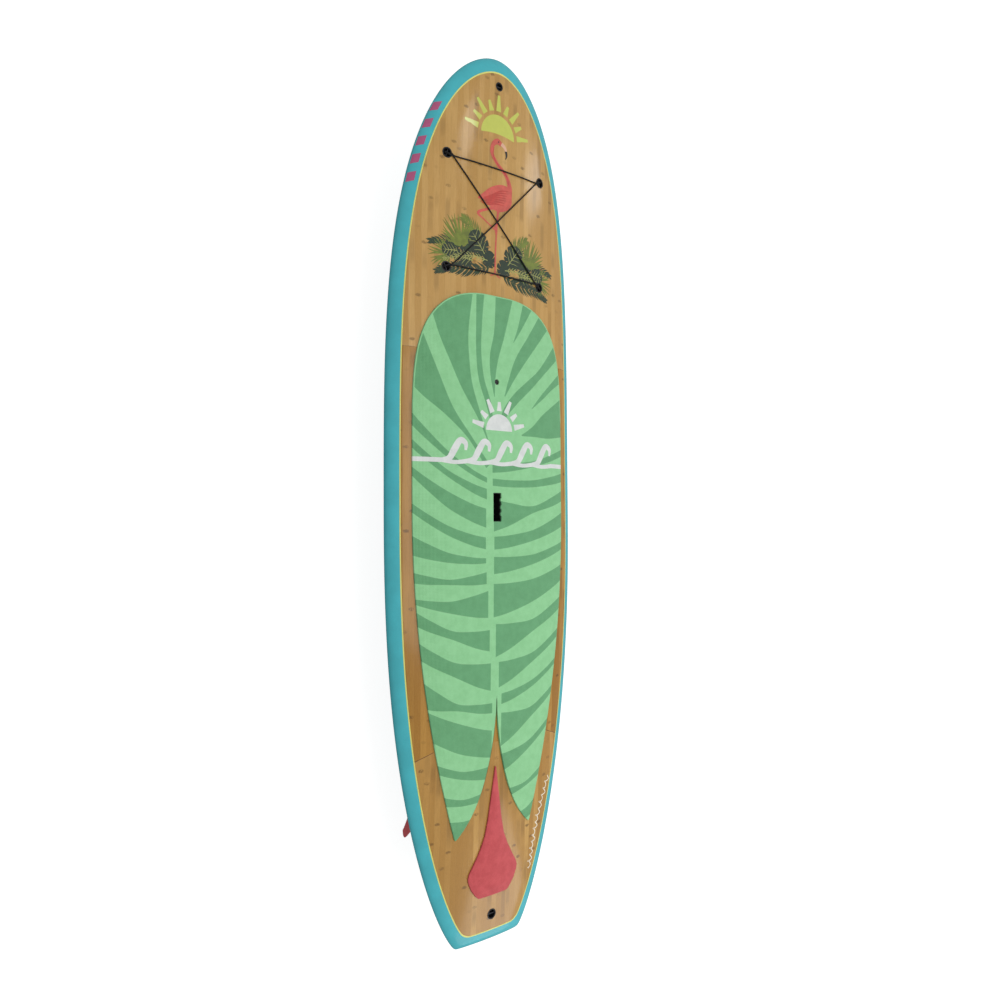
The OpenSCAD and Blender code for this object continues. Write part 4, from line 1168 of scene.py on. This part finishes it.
# Broad leaves: distance from the middle, height, size, lean, and whether they show veins
LEAVES = [(70, 44, 66, -38, True), (128, -8, 58, -82, True), (34, -6, 46, 6, False), (188, 12, 44, -95, True)]
deep, fern, leaf, veins = [], [], [], []
for side in (-1, 1):
    low = 2452 if side < 0 else 2430

    def spray(knots, *rest):
        return feather([(side * x, low + y) for x, y in knots], *rest)

    for x, up, size, lean, veined in LEAVES:
        place = (side * x, low + up, size, 90 + side * lean)
        deep.append(broad_leaf(*place))
        if veined:
            veins += leaf_veins(*place)
    fern += spray([(24, -20), (110, -42), (196, -52), (250, -70)], 46, 8, 2.9)
    fern += spray([(30, 10), (120, 36), (205, 44), (276, 30)], 42, 8, 2.8)
    fern += palm_fan(side * 60, low + 30, 112, 90 - side * 15, 90 - side * 95, 15, 4.6)
    leaf += palm_fan(side * 150, low + 30, 118, 90 + side * 38, 90 - side * 72, 17, 4.8)
    leaf += spray([(60, 40), (92, 96), (148, 136)], 44, 8, 2.8)
    leaf += palm_fan(side * 200, low - 4, 84, 90 - side * 30, 90 - side * 165, 15, 3.8)
    veins += spray([(40, 2), (120, 4), (225, -24)], 26, 13, 1.5)
for word, shapes, ink, lift, step in (("fern", fern, "fern", 0.2, 7.0), ("leaf", leaf, "leaf", 0.32, 7.0),
                                      ("deep", deep, "deep", 0.44, 7.0), ("veins", veins, "light_leaf", 0.56, 5.0)):
    decal("foliage_print_" + word, shapes, prints[ink], lift, step, holes=plug_holes[4:])

# A plain wading bird on one leg
bird = [
    spline([(68, 2708), (54, 2740), (18, 2744), (-26, 2726), (-56, 2702), (-86, 2672), (-54, 2672), (-32, 2654),
            (6, 2642), (48, 2656), (68, 2682)], 6, closed=True),
    ribbon([(52, 2704, 18), (58, 2744, 11), (40, 2784, 8), (-2, 2818, 7), (-26, 2850, 7), (-22, 2882, 8),
            (-2, 2898, 10.5), (16, 2890, 8.5)], 8),
    ribbon([(8, 2656, 8), (4, 2626, 4.6), (-1, 2560, 3.2), (-4, 2500, 3.2), (-6, 2412, 3)], 5),
    ribbon([(0, 2656, 7), (-40, 2642, 4.4), (-84, 2620, 5.4), (-60, 2602, 3), (-6, 2572, 2.8)], 5),
    spline([(-4, 2596), (4, 2580), (2, 2556), (-2, 2546), (-8, 2566), (-10, 2584)], 4, closed=True),
    ribbon([(-6, 2414, 3.4), (8, 2404, 2.2), (20, 2398, 0.8)], 3),
    ribbon([(-6, 2414, 3.4), (-20, 2404, 2.2), (-30, 2402, 0.8)], 3),
]
decal("bird_print", bird, prints["pink"], 0.68, 6.0)
feathers = []
for k in range(7):
    t = k / 6
    feathers.append(ribbon([(54 - 22 * t, 2728 - 58 * t, 0.8), (16 - 22 * t, 2720 - 52 * t, 2.6),
                            (-26 - 22 * t, 2696 - 38 * t, 2.2), (-60 - 16 * t, 2680 - 18 * t, 0.5)], 5))
feathers += [ribbon([(56, 2738, 0.6), (46, 2778, 2.4), (4, 2812, 2.0), (-19, 2842, 1.8), (-17, 2874, 0.6)], 5)]
decal("bird_print_feathers", feathers, prints["pink_dark"], 0.8, 5.0)
beak = ribbon([(16, 2893, 7.5), (32, 2884, 6.4), (40, 2866, 4.6)], 5)
decal("bird_print_beak", [beak], prints["beak"], 0.8, 4.0)
beak_tip = ribbon([(38, 2872, 5.2), (41, 2856, 4), (36, 2840, 0.6)], 5)
decal("bird_print_black", [beak_tip, circle(3, 2897, 2.6, 16)], prints["black"], 0.92, 4.0)

# A plain flourish near the right of the tail
flourish = []
for k in range(57):
    t = k / 56
    x, y = 274 - 94 * t - 16 * sin(pi * t), 534 - 326 * t
    turn_at = 2 * pi * k / 4
    swing = 11 * sin(turn_at) * (0.75 + 0.35 * sin(k * 0.9))
    flourish.append((x + 0.96 * swing, y - 0.28 * swing + 4.0 * cos(turn_at), 2.0))
decal("flourish_print", [ribbon(flourish, 5)], prints["cream"], 0.25, 4.0)

# A row of plain slanted bars on the left rail
BAR_Y, BAR_STEP, BAR_L = 2676, 66, 34


def on_rail(inset, y):
    return (inset - half_w(y), y)


bars = []
for k in range(5):
    y0 = BAR_Y + BAR_STEP * k
    bars.append([on_rail(3 + 4 * j, y0 + 1.2 * j) for j in range(7)]
                + [on_rail(3 + 4 * j, y0 + BAR_L + 1.2 * j) for j in range(6, -1, -1)])
decal("rail_print", bars, prints["rail_pink"], 0.2, 3.0, slot="teal_laminate")

# -------- floor and lights

mesh = bpy.data.meshes.new("floor")
mesh.from_pydata([(-16, -16, -0.0005), (16, -16, -0.0005), (16, 16, -0.0005), (-16, 16, -0.0005)], [], [(0, 1, 2, 3)])
floor = bpy.data.objects.new("floor", mesh)
paper = Nodes("paper", 0.95, Specular_IOR_Level=0.0, Base_Color=(0.36, 0.36, 0.36, 1), Emission_Color=(1, 1, 1, 1))
paper.put(paper.b.inputs["Emission Strength"], paper.ramp(paper.node("LightPath"), 0, 1, 0.0, 0.88, "LINEAR"))
mesh.materials.append(paper.m)
scene.collection.objects.link(floor)

scene.world = bpy.data.worlds.new("studio")
scene.world.use_nodes = True
background = scene.world.node_tree.nodes["Background"]
background.inputs["Color"].default_value = (1, 1, 1, 1)
background.inputs["Strength"].default_value = 0.56


def area(name, place, target, size, power, size_y):
    lamp = bpy.data.lights.new(name, "AREA")
    lamp.shape = "RECTANGLE"
    lamp.size, lamp.size_y, lamp.energy = size, size_y, power
    obj = bpy.data.objects.new(name, lamp)
    obj.location = place
    obj.rotation_euler = (Vector(target) - Vector(place)).to_track_quat("-Z", "Y").to_euler()
    scene.collection.objects.link(obj)


area("key", (0.9, 0.0, 4.8), (0, 0, 0.3), 3.0, 98, 4.6)
area("side", (2.9, 2.5, 2.5), (0.17, 1.27, 0.34), 0.4, 4.2, 0.6)
area("nose", (1.15, 2.5, 2.95), (-0.1, 1.46, 0.36), 0.3, 1.6, 0.3)
area("tail", (1.4, -3.4, 2.3), (0, -1.5, 0.25), 2.4, 26, 1.2)
